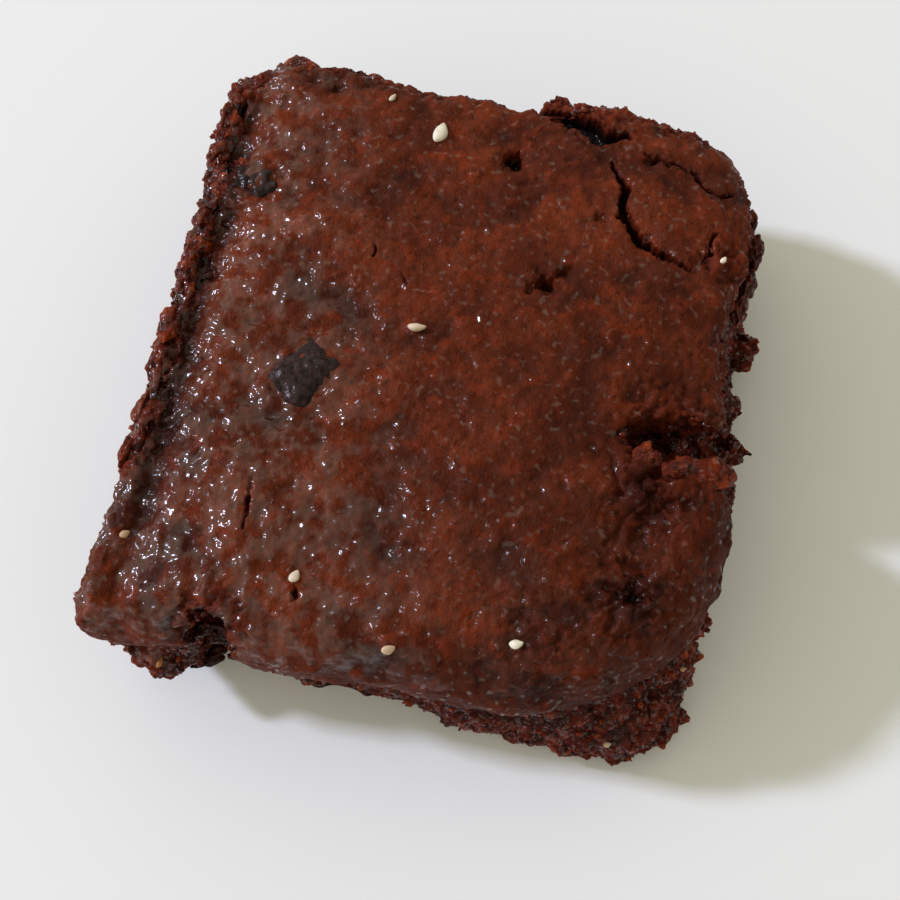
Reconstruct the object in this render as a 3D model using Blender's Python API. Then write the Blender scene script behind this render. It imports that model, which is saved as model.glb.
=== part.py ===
"""A square of vegan brownie with two raisins that show, as closed solids at real size.

The brownie is one solid: a thick crust that is domed and split on top and hangs over crumbly,
uneven sides, on a flat foot. Its cracks, pits, the deep cleft in the right side and the pockets
of the raisins are cut in, and the loose crumbs and sesame seeds are fused on. Sizes are in
millimetres in the drawing's own coordinates, and become metres about the middle of the foot.
+X is the right side as the brownie is seen from the near side, +Y is the far side and +Z is up.
"""

import random
from collections import namedtuple
from math import atan2, ceil, cos, exp, hypot, pi, radians, sin, sqrt

import bmesh
import bpy
from mathutils import Euler, Matrix, Vector, noise

METRES = 0.001
SEED = 27

# Driving sizes of the brownie, in millimetres.
LEFT_SIDE = -35.8
RIGHT_SIDE = 39.2
NEAR_SIDE = -40.2
FAR_SIDE = 41.6
CROWN_HEIGHT = 27.0
MIDDLE_X = 2.95
MIDDLE_Y = 0.26

# Levels between which the outline of the crust becomes the outline of the foot.
CRUST_LEVEL = 14.0
FOOT_LEVEL = 6.0
FOOT_CHAMFER = 0.7

# Corner radii in plan, in the order near left, near right, far right, far left.
CRUST_CORNERS = (2.5, 24.0, 17.0, 9.0)
FOOT_CORNERS = (6.0, 10.5, 10.0, 7.0)

# Length of the mesh's facets.
FACET = 2.26
# A raisin's pocket is this much larger than the raisin, as its few flat facets cut inside its round.
POCKET_CLEARANCE = 0.62

# Something added to the outline near a place: x, y and z of its middle, how far it spreads
# along the side and in height, and how far it pushes the side out.
Swell = namedtuple("Swell", "x y z along height out")

SWELLS = (
    # Notch and shallow dip in the far edge of the crust, and the corner lump beside the notch.
    Swell(3.4, 41.0, 24, 2.6, 9, -4.6),
    Swell(9.0, 41.5, 24, 2.4, 8, 0.8),
    Swell(-9.0, 41.0, 22, 7.0, 16, -0.8),
    Swell(-21.0, 41.0, 22, 6.0, 12, 0.7),
    Swell(15.0, 41.6, 22, 6.0, 12, 1.6),
    Swell(-27.5, 41.5, 24, 2.0, 4, 1.0),
    # The right edge of the crust is broken back between its far and near lobes.
    Swell(39.2, 25.0, 22, 9.0, 16, -2.4),
    Swell(39.2, -14.0, 21, 9.0, 7, 0.6),
    Swell(39.2, 8.5, 22, 9.5, 12, -5.4),
    # Layers and crumbs of the foot stand out under the broken right edge.
    Swell(40.0, 11.0, 4, 11.0, 7, 1.5),
    Swell(41.0, 18.0, 8, 2.6, 5, 1.0),
    Swell(41.0, 3.5, 8, 2.8, 5, 1.4),
    Swell(40.0, -22.0, 5, 9.0, 8, -0.6),
    # The near right corner of the foot is square and reaches past the round crust above it.
    Swell(38.0, -36.0, 3, 6.0, 7, 0.4),
    Swell(24.0, -41.0, 3, 5.0, 6, 0.6),
    Swell(29.0, -38.0, 15, 9.0, 5, -1.4),
    Swell(-3.0, -41.0, 3, 9.0, 9, -2.4),
    # The near side is hollowed under the crust, deepest at the left.
    Swell(-14.0, -40.0, 17, 3.0, 4, 0.6),
    Swell(-20.0, -38.0, 4, 8.0, 10, -4.4),
    Swell(-31.0, -38.0, 1, 7.0, 6, -3.4),
    Swell(-36.0, -37.0, 23, 8.0, 7, 1.3),
    Swell(10.0, -40.0, 12, 14.0, 4, -1.4),
    # The far and left sides are hollowed a little between crust and foot.
    Swell(-36.0, -4.0, 12, 26.0, 6, -2.0),
    Swell(0.0, 42.0, 12, 26.0, 6, -1.8),
    Swell(39.0, 26.0, 13, 10.0, 5, -1.2),
)

# How far the crust rounds down at each side: across the top and in height.
SHOULDER_LEFT = (1.6, 1.2)
SHOULDER_NEAR = (6.5, 4.0)
SHOULDER_RIGHT = (5.0, 3.4)
SHOULDER_FAR = (4.5, 3.0)
SHOULDER_NEAR_RIGHT = (16.0, 9.5)
NEAR_RIGHT_REACH = 22.0

# The crust is pressed up into a narrow rim along the left side, with a groove inside it.
GROOVE_X = -31.4
GROOVE_WIDTH = 1.9
GROOVE_DEPTH = 1.8
RIM_X = -34.2
RIM_WIDTH = 1.3
RIM_RISE = 0.7

# Broad rises and hollows in the crust: x, y, spread and height.
Mound = namedtuple("Mound", "x y spread rise")

MOUNDS = (
    Mound(24.0, 27.0, 9.0, 1.3),
    Mound(13.0, -10.0, 13.0, 0.9),
    Mound(-14.0, 22.0, 11.0, 0.7),
    Mound(-20.0, -24.0, 9.0, 0.6),
    Mound(4.5, -8.0, 2.0, -0.7),
    Mound(-10.0, -31.0, 3.0, -0.9),
    Mound(-15.0, -4.6, 6.0, -0.5),
    Mound(28.5, -17.0, 3.5, -1.2),
    Mound(-28.0, 20.0, 5.0, -0.8),
    Mound(32.0, 5.0, 6.0, -1.4),
    Mound(33.5, -12.0, 4.0, 0.8),
)

# Relief of crust and crumb: height and the size of its lumps.
CRUST_RELIEF = (0.42, 4.2)
CRUST_SWELL = (0.55, 13.0)
SIDE_LUMPS = (2.1, 5.4)
SIDE_GRAIN = (1.3, 3.4)

# Cracks in the crust: points along each one, its widest gap and its depth.
Crack = namedtuple("Crack", "name points width depth")

CRACKS = (
    Crack(
        "main",
        ((16.9, 31.6), (17.7, 30.5), (19.4, 27.8), (19.0, 25.5), (19.8, 23.4), (22.1, 21.0),
         (24.9, 19.3), (27.6, 18.6), (29.0, 18.2)),
        1.15, 4.0,
    ),
    Crack(
        "rupture",
        ((6.4, 38.9), (8.6, 38.2), (11.0, 37.9), (13.2, 36.7), (14.8, 35.2), (18.4, 36.2)),
        1.9, 3.2,
    ),
    Crack(
        "corner",
        ((24.0, 33.0), (25.6, 32.6), (28.0, 32.3), (29.2, 30.2), (31.2, 29.8), (33.0, 30.4)),
        0.6, 1.6,
    ),
    Crack("edge", ((31.6, 24.4), (31.2, 22.4), (30.4, 19.6)), 0.6, 1.6),
    Crack("near_left", ((-18.9, -20.0), (-18.7, -22.6), (-18.3, -26.0)), 0.8, 1.6),
    Crack("gully", ((27.0, -9.6), (28.4, -12.0), (29.0, -14.6), (28.6, -16.4)), 1.6, 2.2),
)

# Hollows cut by a lumpy ball: its middle, its three half sizes and its turn about +Z.
Hollow = namedtuple("Hollow", "name middle half turn")

HOLLOWS = (
    Hollow("cleft", (30.6, -5.4, 23.4), (6.4, 3.9, 7.0), 6),
    Hollow("cleft_root", (26.6, -4.6, 26.0), (3.0, 2.0, 3.6), 20),
    Hollow("cleft_mouth", (36.6, -2.4, 20.0), (6.6, 3.6, 8.5), 28),
    Hollow("near_left_cavity", (-20.4, -38.6, 21.6), (3.2, 2.3, 2.9), 10),
    Hollow("star_pit", (11.4, 12.8, 27.2), (1.7, 1.3, 2.1), 20),
    Hollow("star_arm", (13.2, 14.6, 27.4), (1.5, 0.7, 1.6), 45),
    Hollow("far_pit", (4.4, 30.1, 26.4), (2.0, 1.6, 1.8), -30),
    Hollow("near_pit", (27.8, -24.9, 21.4), (2.6, 1.7, 2.2), -50),
    Hollow("small_pit_a", (21.4, 33.1, 26.6), (1.0, 0.7, 1.7), 30),
    Hollow("small_pit_b", (16.7, 23.4, 27.6), (0.9, 0.7, 1.5), 0),
    Hollow("small_pit_c", (-20.8, 36.4, 25.6), (1.0, 0.7, 1.5), 15),
)

# Lumps of crumb fused to the sides: middle, half sizes and turn, sizes in millimetres.
Lump = namedtuple("Lump", "middle half turn")

LUMPS = (
    # The clump that hangs under the near left corner.
    Lump((-30.6, -38.6, 10.4), (2.9, 2.6, 2.8), 10),
    Lump((-27.0, -39.8, 9.6), (2.8, 3.0, 2.6), -20),
    Lump((-23.6, -38.4, 10.6), (2.6, 2.5, 2.4), 30),
    Lump((-26.4, -37.0, 14.6), (4.6, 2.6, 4.2), 0),
    Lump((-21.0, -38.3, 11.6), (1.9, 1.3, 1.5), 35),
    # Crumbs that stand out of the foot at the right.
    Lump((39.8, 18.2, 7.0), (2.0, 2.3, 2.2), 0),
    Lump((39.4, 15.0, 9.6), (1.6, 1.5, 1.6), 20),
    Lump((39.2, 9.2, 6.0), (1.8, 2.1, 2.2), -15),
    Lump((40.4, 2.0, 7.4), (2.4, 1.7, 2.0), 15),
    Lump((38.4, 1.4, 12.4), (2.2, 1.5, 2.0), 30),
    Lump((39.4, -21.4, 7.6), (1.3, 1.2, 1.2), 0),
    # Corner crumbs at the near right of the foot.
    Lump((37.6, -33.6, 3.2), (2.1, 1.7, 2.0), 40),
    Lump((31.2, -39.6, 2.8), (2.6, 1.7, 1.9), 5),
    Lump((20.0, -39.8, 2.6), (1.8, 1.4, 1.7), 0),
    # Crumbs along the far edge of the crust.
    Lump((-27.6, 41.2, 23.6), (1.6, 1.2, 1.5), 0),
    Lump((8.4, 41.4, 23.4), (1.7, 1.0, 1.5), 0),
    Lump((-19.4, 40.8, 23.0), (1.9, 1.2, 1.4), 10),
    # Bits beside the raisin in the left rim.
    Lump((-31.6, 20.6, 25.6), (1.7, 2.0, 1.7), 10),
    Lump((-31.0, 16.4, 25.4), (1.5, 1.4, 1.4), 0),
    # Lumps at the broken edge of the crust at the right.
    Lump((35.0, 9.0, 20.6), (1.9, 1.9, 1.9), 0),
    Lump((35.6, -10.8, 24.6), (1.9, 1.6, 1.6), 0),
    Lump((35.2, 20.8, 23.8), (1.6, 2.2, 1.8), 0),
)

SCATTERED_CRUMBS = 24
SCATTERED_HALF_SIZE = (0.75, 1.35)

# Sesame seeds that show on the crust: x, y, length and turn about +Z.
Seed = namedtuple("Seed", "x y length turn")

SEEDS = (
    Seed(-5.8, 31.6, 3.0, 80),
    Seed(-13.2, 36.1, 1.3, 60),
    Seed(-3.3, 3.3, 2.4, 10),
    Seed(-11.1, -30.3, 2.0, 70),
    Seed(1.4, -36.6, 2.5, 30),
    Seed(15.8, -33.2, 1.9, 15),
    Seed(-32.6, -28.6, 1.8, 10),
    Seed(32.9, 20.4, 1.5, 60),
)
SEED_WIDTH_SHARE = 0.68
SEED_THICKNESS_SHARE = 0.5
SEED_RISE = 0.25

# The raisins: middle, half sizes and turn about +Z, in millimetres and degrees.
Raisin = namedtuple("Raisin", "name middle half turn ribs")

RAISINS = (
    Raisin("raisin_top", (-15.2, -4.8, 25.5), (5.5, 3.7, 2.4), 40, 7),
    Raisin("raisin_rim", (-27.2, 20.4, 25.2), (3.5, 2.9, 2.4), 25, 6),
)
RIB_DEPTH = 0.10

CRUST_COLOUR = (0.105, 0.030, 0.014, 1.0)
RAISIN_COLOUR = (0.024, 0.014, 0.014, 1.0)


def smooth_step(low, high, value):
    """Rise from 0 at low to 1 at high without a kink."""
    share = min(1.0, max(0.0, (value - low) / (high - low)))
    return share * share * (3.0 - 2.0 * share)


def blend(first, second, share):
    """Return the value that lies the given share of the way from first to second."""
    return first + (second - first) * share


def bell(distance, spread):
    """Return a bell curve that is 1 at no distance."""
    return exp(-(distance / spread) ** 2)


def corner_radius(x, y, level):
    """Return the plan radius of the corner nearest to a point at a height."""
    share = smooth_step(FOOT_LEVEL, CRUST_LEVEL, level)
    middle_x = (LEFT_SIDE + RIGHT_SIDE) / 2
    middle_y = (NEAR_SIDE + FAR_SIDE) / 2
    if y < middle_y:
        corner = 0 if x < middle_x else 1
    else:
        corner = 3 if x < middle_x else 2
    return blend(FOOT_CORNERS[corner], CRUST_CORNERS[corner], share)


def rectangle_distance(x, y, level):
    """Return how far a point lies outside the rounded rectangle of the plan."""
    radius = corner_radius(x, y, level)
    half_x = (RIGHT_SIDE - LEFT_SIDE) / 2
    half_y = (FAR_SIDE - NEAR_SIDE) / 2
    past_x = abs(x - (LEFT_SIDE + RIGHT_SIDE) / 2) - half_x + radius
    past_y = abs(y - (NEAR_SIDE + FAR_SIDE) / 2) - half_y + radius
    outside = hypot(max(past_x, 0.0), max(past_y, 0.0))
    return outside + min(max(past_x, past_y), 0.0) - radius


def swell_out(x, y, level):
    """Return how far the swells push the side out at a place."""
    total = 0.0
    for swell in SWELLS:
        along = hypot(x - swell.x, y - swell.y)
        total += swell.out * bell(along, swell.along) * bell(level - swell.z, swell.height)
    return total


def side_relief(x, y, level):
    """Return the crumbly relief of the sides, which is small at the crust and full below it."""
    lump_height, lump_size = SIDE_LUMPS
    grain_height, grain_size = SIDE_GRAIN
    place = Vector((x, y, level * 1.25))
    nearest = noise.voronoi(place / lump_size)[0][0]
    lumps = (0.42 - nearest) * lump_height
    grain = noise.noise(place / grain_size + Vector((7.1, 3.3, 1.9))) * grain_height
    share = blend(1.0, 0.45, smooth_step(CRUST_LEVEL, CRUST_LEVEL + 4.0, level))
    return (lumps + grain) * share


def outline_distance(x, y, level):
    """Return how far a point lies outside the brownie's own outline at a height."""
    return rectangle_distance(x, y, level) - swell_out(x, y, level) - side_relief(x, y, level)


def reach(angle, level):
    """Return the plan radius at which a ray from the middle leaves the brownie."""
    middle_x = (LEFT_SIDE + RIGHT_SIDE) / 2
    middle_y = (NEAR_SIDE + FAR_SIDE) / 2
    inner = 20.0
    outer = 62.0
    for _ in range(22):
        radius = (inner + outer) / 2
        x = middle_x + radius * cos(angle)
        y = middle_y + radius * sin(angle)
        if outline_distance(x, y, level) > 0.0:
            outer = radius
        else:
            inner = radius
    return (inner + outer) / 2


def shoulder(x, y):
    """Return how far across and how far down the crust rounds over at the nearest side."""
    to_left = x - LEFT_SIDE
    to_right = RIGHT_SIDE - x
    to_near = y - NEAR_SIDE
    to_far = FAR_SIDE - y
    sides = (
        (to_left, SHOULDER_LEFT),
        (to_right, SHOULDER_RIGHT),
        (to_near, SHOULDER_NEAR),
        (to_far, SHOULDER_FAR),
    )
    total = 0.0
    across = 0.0
    down = 0.0
    for gap, size in sides:
        weight = 1.0 / (0.6 + max(gap, 0.0)) ** 2
        total += weight
        across += weight * size[0]
        down += weight * size[1]
    corner = bell(hypot(x - RIGHT_SIDE, y - NEAR_SIDE), NEAR_RIGHT_REACH)
    return (
        blend(across / total, SHOULDER_NEAR_RIGHT[0], corner),
        blend(down / total, SHOULDER_NEAR_RIGHT[1], corner),
    )


def crust_height(x, y):
    """Return the height of the crust over a point of the plan."""
    middle_x = (LEFT_SIDE + RIGHT_SIDE) / 2
    middle_y = (NEAR_SIDE + FAR_SIDE) / 2
    height = CROWN_HEIGHT - 1.0 * (abs(x - middle_x) / 38) ** 3 - 1.2 * (abs(y - middle_y) / 41) ** 3
    for mound in MOUNDS:
        height += mound.rise * bell(hypot(x - mound.x, y - mound.y), mound.spread)
    relief, size = CRUST_RELIEF
    height += relief * noise.noise(Vector((x, y, 4.0)) / size)
    swell, swell_size = CRUST_SWELL
    height += swell * noise.noise(Vector((x, y, 40.0)) / swell_size)
    wander = 0.9 * noise.noise(Vector((3.0, y / 5.0, 9.0)))
    along_left = smooth_step(FAR_SIDE - 1.0, FAR_SIDE - 8.0, y)
    height -= GROOVE_DEPTH * bell(x - GROOVE_X - wander, GROOVE_WIDTH) * along_left
    height += RIM_RISE * bell(x - RIM_X - wander * 0.5, RIM_WIDTH) * along_left
    across, down = shoulder(x, y)
    inside = max(0.0, -outline_distance(x, y, CRUST_LEVEL + 5.0))
    if inside < across:
        height -= down * (1.0 - sqrt(max(0.0, 1.0 - (1.0 - inside / across) ** 2)))
    return height


def plan_point(across_share, along_share):
    """Map a point of a square from -1 to 1 onto the plan of the crust."""
    half_x = (RIGHT_SIDE - LEFT_SIDE) / 2
    half_y = (FAR_SIDE - NEAR_SIDE) / 2
    x = across_share * half_x
    y = along_share * half_y
    ring = max(abs(across_share), abs(along_share))
    if ring < 1e-9:
        return (LEFT_SIDE + RIGHT_SIDE) / 2, (NEAR_SIDE + FAR_SIDE) / 2
    angle = atan2(y, x)
    edge = hypot(x, y) / ring
    stretch = reach(angle, CRUST_LEVEL + 5.0) / edge
    factor = 1.0 + (stretch - 1.0) * ring ** 3
    return (
        (LEFT_SIDE + RIGHT_SIDE) / 2 + x * factor,
        (NEAR_SIDE + FAR_SIDE) / 2 + y * factor,
    )


def square_rim(across_count, along_count):
    """List the grid places round the edge of the top, counterclockwise from the near left."""
    rim = [(i, 0) for i in range(across_count)]
    rim += [(across_count, j) for j in range(along_count)]
    rim += [(i, along_count) for i in range(across_count, 0, -1)]
    rim += [(0, j) for j in range(along_count, 0, -1)]
    return rim


def new_object(name, mesh_data, collection=None):
    """Turn a bmesh into a named object and free the bmesh."""
    mesh = bpy.data.meshes.new(name)
    mesh_data.to_mesh(mesh)
    mesh_data.free()
    result = bpy.data.objects.new(name, mesh)
    (collection or bpy.context.scene.collection).objects.link(result)
    return result


def place(x, y, z):
    """Turn drawing millimetres into the part's metres."""
    return Vector(((x - MIDDLE_X) * METRES, (y - MIDDLE_Y) * METRES, z * METRES))


def brownie_body():
    """Build the crust, the crumbly sides and the flat foot as one closed mesh."""
    across_count = ceil((RIGHT_SIDE - LEFT_SIDE) / FACET)
    along_count = ceil((FAR_SIDE - NEAR_SIDE) / FACET)
    data = bmesh.new()
    top = {}
    for i in range(across_count + 1):
        for j in range(along_count + 1):
            x, y = plan_point(2 * i / across_count - 1, 2 * j / along_count - 1)
            top[i, j] = data.verts.new(place(x, y, crust_height(x, y)))
    for i in range(across_count):
        for j in range(along_count):
            data.faces.new((top[i, j], top[i + 1, j], top[i + 1, j + 1], top[i, j + 1]))

    rim = square_rim(across_count, along_count)
    upper = [top[key] for key in rim]
    angles = []
    heights = []
    for i, j in rim:
        x = (2 * i / across_count - 1) * (RIGHT_SIDE - LEFT_SIDE) / 2
        y = (2 * j / along_count - 1) * (FAR_SIDE - NEAR_SIDE) / 2
        angles.append(atan2(y, x))
        heights.append(top[i, j].co.z / METRES)
    rows = ceil(max(heights) / FACET)
    for row in range(1, rows + 1):
        lower = []
        for angle, height in zip(angles, heights):
            level = height * (1.0 - row / rows)
            radius = reach(angle, level)
            if row == rows:
                radius -= FOOT_CHAMFER
            x = (LEFT_SIDE + RIGHT_SIDE) / 2 + radius * cos(angle)
            y = (NEAR_SIDE + FAR_SIDE) / 2 + radius * sin(angle)
            lower.append(data.verts.new(place(x, y, level)))
        for k, first in enumerate(upper):
            follows = (k + 1) % len(upper)
            data.faces.new((first, lower[k], lower[follows], upper[follows]))
        upper = lower
    data.faces.new(list(reversed(upper)))
    bmesh.ops.recalc_face_normals(data, faces=data.faces)
    return new_object("brownie", data)


def lumpy_ball(name, middle, half, turn, roughness, subdivisions, collection, draw):
    """Build a ball with the given half sizes and a seeded lumpy surface."""
    data = bmesh.new()
    bmesh.ops.create_icosphere(data, subdivisions=subdivisions, radius=1.0)
    shift = Vector((draw.uniform(0, 50), draw.uniform(0, 50), draw.uniform(0, 50)))
    for vertex in data.verts:
        vertex.co *= 1.0 + roughness * noise.noise(vertex.co * 1.7 + shift)
    spin = Euler((draw.uniform(-0.3, 0.3), draw.uniform(-0.3, 0.3), radians(turn))).to_matrix()
    size = Matrix.Diagonal(Vector(half) * METRES)
    bmesh.ops.transform(data, matrix=(spin @ size).to_4x4(), verts=data.verts)
    bmesh.ops.translate(data, vec=place(*middle), verts=data.verts)
    return new_object(name, data, collection)


def crack_cutter(crack, collection):
    """Build a wedge along a crack, wide above the crust and sharp at its bottom."""
    data = bmesh.new()
    count = len(crack.points)
    sections = []
    for k, (x, y) in enumerate(crack.points):
        before = crack.points[max(0, k - 1)]
        after = crack.points[min(count - 1, k + 1)]
        along = Vector((after[0] - before[0], after[1] - before[1]))
        aside = Vector((-along.y, along.x)).normalized()
        share = sin(pi * (k + 0.55) / (count + 0.1))
        width = crack.width * (0.35 + 0.65 * share)
        surface = crust_height(x, y)
        upper = surface + 2.2
        lower = surface - crack.depth * (0.3 + 0.7 * share)
        spread = width * (1.0 + 2.2 / crack.depth) / 2
        sections.append((
            data.verts.new(place(x + aside.x * spread, y + aside.y * spread, upper)),
            data.verts.new(place(x - aside.x * spread, y - aside.y * spread, upper)),
            data.verts.new(place(x - aside.x * 0.12, y - aside.y * 0.12, lower)),
            data.verts.new(place(x + aside.x * 0.12, y + aside.y * 0.12, lower)),
        ))
    for first, second in zip(sections, sections[1:]):
        for side in range(4):
            follows = (side + 1) % 4
            data.faces.new((first[side], first[follows], second[follows], second[side]))
    data.faces.new(tuple(reversed(sections[0])))
    data.faces.new(sections[-1])
    bmesh.ops.triangulate(data, faces=data.faces)
    bmesh.ops.recalc_face_normals(data, faces=data.faces)
    return new_object("crack_" + crack.name, data, collection)


def seed_on_crust(seed, collection, number):
    """Build one flat, pointed sesame seed that lies half sunk in the crust."""
    data = bmesh.new()
    bmesh.ops.create_uvsphere(data, u_segments=6, v_segments=4, radius=0.5)
    bmesh.ops.rotate(data, matrix=Matrix.Rotation(pi / 2, 3, "Y"), verts=data.verts)
    for vertex in data.verts:
        vertex.co.y *= SEED_WIDTH_SHARE * (1.0 - 0.5 * vertex.co.x)
        vertex.co.z *= SEED_THICKNESS_SHARE
    bmesh.ops.scale(data, vec=Vector((1, 1, 1)) * seed.length * METRES, verts=data.verts)
    bmesh.ops.rotate(data, matrix=Matrix.Rotation(radians(seed.turn), 3, "Z"), verts=data.verts)
    middle = place(seed.x, seed.y, crust_height(seed.x, seed.y) + SEED_RISE)
    bmesh.ops.translate(data, vec=middle, verts=data.verts)
    return new_object("seed_%d" % number, data, collection)


def raisin_mesh(raisin, extra, subdivisions):
    """Build a wrinkled raisin, larger all round by the extra millimetres."""
    data = bmesh.new()
    bmesh.ops.create_icosphere(data, subdivisions=subdivisions, radius=1.0)
    for vertex in data.verts:
        rib = cos(raisin.ribs * pi * vertex.co.x) * (1.0 - abs(vertex.co.x))
        vertex.co *= 1.0 + RIB_DEPTH * (rib - 1.0) + 0.10 * noise.noise(vertex.co * 1.6)
    size = Matrix.Diagonal(Vector([(half + extra) * METRES for half in raisin.half]))
    spin = Matrix.Rotation(radians(raisin.turn), 3, "Z")
    bmesh.ops.transform(data, matrix=(spin @ size).to_4x4(), verts=data.verts)
    bmesh.ops.translate(data, vec=place(*raisin.middle), verts=data.verts)
    return data


def scattered_crumbs(collection, draw):
    """Set small seeded crumbs into the sides below the crust."""
    for number in range(SCATTERED_CRUMBS):
        angle = 2 * pi * (number + draw.uniform(0.1, 0.9)) / SCATTERED_CRUMBS
        level = draw.uniform(2.5, CRUST_LEVEL + 2.0)
        size = draw.uniform(*SCATTERED_HALF_SIZE)
        radius = reach(angle, level) + 0.1 * size
        x = (LEFT_SIDE + RIGHT_SIDE) / 2 + radius * cos(angle)
        y = (NEAR_SIDE + FAR_SIDE) / 2 + radius * sin(angle)
        half = (size, size * draw.uniform(0.8, 1.2), size * draw.uniform(0.8, 1.2))
        lumpy_ball("crumb_%d" % number, (x, y, level), half, draw.uniform(0, 90), 0.3, 1,
                   collection, draw)


def apply_boolean(target, operation, collection):
    """Join or cut every object of a collection at once, then remove the collection."""
    modifier = target.modifiers.new(operation.lower(), "BOOLEAN")
    modifier.operation = operation
    modifier.solver = "EXACT"
    modifier.operand_type = "COLLECTION"
    modifier.collection = collection
    evaluated = target.evaluated_get(bpy.context.evaluated_depsgraph_get())
    result = bpy.data.meshes.new_from_object(evaluated)
    target.modifiers.clear()
    previous = target.data
    target.data = result
    bpy.data.meshes.remove(previous)
    result.name = target.name
    for helper in list(collection.objects):
        bpy.data.objects.remove(helper)
    bpy.data.collections.remove(collection)


def helper_collection(name):
    """Make a collection for objects that are fused or cut and then removed."""
    collection = bpy.data.collections.new(name)
    bpy.context.scene.collection.children.link(collection)
    return collection


def keep_largest_shell(target):
    """Drop loose scraps, and fill sealed hollows, by keeping only the largest shell."""
    data = bmesh.new()
    data.from_mesh(target.data)
    bmesh.ops.remove_doubles(data, verts=data.verts, dist=2e-7)
    bmesh.ops.triangulate(data, faces=data.faces)
    seen = set()
    shells = []
    for start in data.verts:
        if start in seen:
            continue
        shell = [start]
        seen.add(start)
        for vertex in shell:
            for edge in vertex.link_edges:
                other = edge.other_vert(vertex)
                if other not in seen:
                    seen.add(other)
                    shell.append(other)
        shells.append(shell)
    shells.sort(key=len)
    for shell in shells[:-1]:
        bmesh.ops.delete(data, geom=shell, context="VERTS")
    data.to_mesh(target.data)
    data.free()


def painted(target, name, colour, roughness):
    """Give an object a plain material with the colour and roughness of the real thing."""
    material = bpy.data.materials.new(name)
    material.use_nodes = True
    shader = material.node_tree.nodes["Principled BSDF"]
    shader.inputs["Base Color"].default_value = colour
    shader.inputs["Roughness"].default_value = roughness
    shader.inputs["Metallic"].default_value = 0.0
    material.diffuse_color = colour
    target.data.materials.clear()
    target.data.materials.append(material)


def build_brownie(draw):
    """Build the brownie with its crumbs and seeds fused on and its openings cut in."""
    body = brownie_body()
    fused = helper_collection("fused pieces")
    for number, lump in enumerate(LUMPS):
        lumpy_ball("lump_%d" % number, lump.middle, lump.half, lump.turn, 0.45, 2, fused, draw)
    scattered_crumbs(fused, draw)
    apply_boolean(body, "UNION", fused)
    cutters = helper_collection("cutters")
    for crack in CRACKS:
        crack_cutter(crack, cutters)
    for hollow in HOLLOWS:
        lumpy_ball("hollow_" + hollow.name, hollow.middle, hollow.half, hollow.turn, 0.5, 2,
                   cutters, draw)
    for raisin in RAISINS:
        new_object("pocket_" + raisin.name, raisin_mesh(raisin, POCKET_CLEARANCE, 2), cutters)
    apply_boolean(body, "DIFFERENCE", cutters)
    seeds = helper_collection("sesame seeds")
    for number, seed in enumerate(SEEDS):
        seed_on_crust(seed, seeds, number)
    apply_boolean(body, "UNION", seeds)
    keep_largest_shell(body)
    painted(body, "baked chocolate crust", CRUST_COLOUR, 0.45)
    return body


def build_raisins():
    """Build each raisin that shows, clear of its pocket."""
    for raisin in RAISINS:
        fruit = new_object(raisin.name, raisin_mesh(raisin, 0.0, 3))
        painted(fruit, "dried raisin skin", RAISIN_COLOUR, 0.5)


def main():
    """Clear the scene and build every piece."""
    for leftover in list(bpy.data.objects):
        bpy.data.objects.remove(leftover)
    draw = random.Random(SEED)
    build_brownie(draw)
    build_raisins()


main()
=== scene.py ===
"""Looks of a vegan brownie: a moist, cracked chocolate crust over crumbly sides, with raisins
and sesame seeds, on a plain pale floor.

The frame gives the solids. This script dresses them: it refines a copy of the brownie's solid
into a fine shell with crust, cracks and crumb, scatters loose crumbs over the crumbly places,
and models the raisins and seeds. Places are in millimetres in the drawing's own coordinates,
as in the part's source, and become metres about the middle of the foot.
"""

from collections import namedtuple
from functools import partial
from math import cos, exp, hypot, pi, radians, sin

import bmesh
import bpy
from mathutils import Matrix, Vector, noise


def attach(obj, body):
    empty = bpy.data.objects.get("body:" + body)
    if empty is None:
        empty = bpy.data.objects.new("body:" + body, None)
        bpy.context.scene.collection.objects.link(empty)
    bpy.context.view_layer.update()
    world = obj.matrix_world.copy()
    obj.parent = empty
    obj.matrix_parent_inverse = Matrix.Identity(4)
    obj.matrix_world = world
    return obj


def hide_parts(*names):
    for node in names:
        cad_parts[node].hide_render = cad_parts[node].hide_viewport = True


bl_info = {
    "name": "Vegan Brownie",
    "version": (1, 0, 0),
    "blender": (4, 5, 0),
    "location": "View3D > Sidebar > Brownie",
    "description": "Builds the looks of a vegan brownie around its solids",
    "category": "Add Mesh",
}

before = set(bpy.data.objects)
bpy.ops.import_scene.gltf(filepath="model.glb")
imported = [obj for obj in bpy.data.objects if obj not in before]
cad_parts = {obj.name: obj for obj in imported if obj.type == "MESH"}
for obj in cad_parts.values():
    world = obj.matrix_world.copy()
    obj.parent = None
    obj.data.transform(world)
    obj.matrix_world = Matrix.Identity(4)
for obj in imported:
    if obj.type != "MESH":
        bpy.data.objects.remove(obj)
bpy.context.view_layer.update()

MM = 0.001
CRUST_MATERIAL = "moist_chocolate_crust_and_crumb"

# Seed of the noise that tears the edges of the cracks.
NOISE_SEED = 3

# Colours of the painted shade in hollows and inside cracks, and of the raisins, sesame seeds and floor.
DEEP_SHADE = "#120504"
CRACK_SHADE = "#0e0403"
RAISIN_SKIN = "#1a0e0e"
RAISIN_BLOOM = "#3a2728"
SEED_RAW = "#e2d8c4"
SEED_TOASTED = "#a3682c"
SEED_STAIN = "#9a7a55"
BOARD_WHITE = "#e7e7e7"

# The middle of the part in the drawing, and the outer sides of the crust, in millimetres.
MIDDLE_X = 2.95
MIDDLE_Y = 0.26
LEFT_SIDE = -35.8
RIGHT_SIDE = 39.2
NEAR_SIDE = -40.2
FAR_SIDE = 41.6

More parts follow.
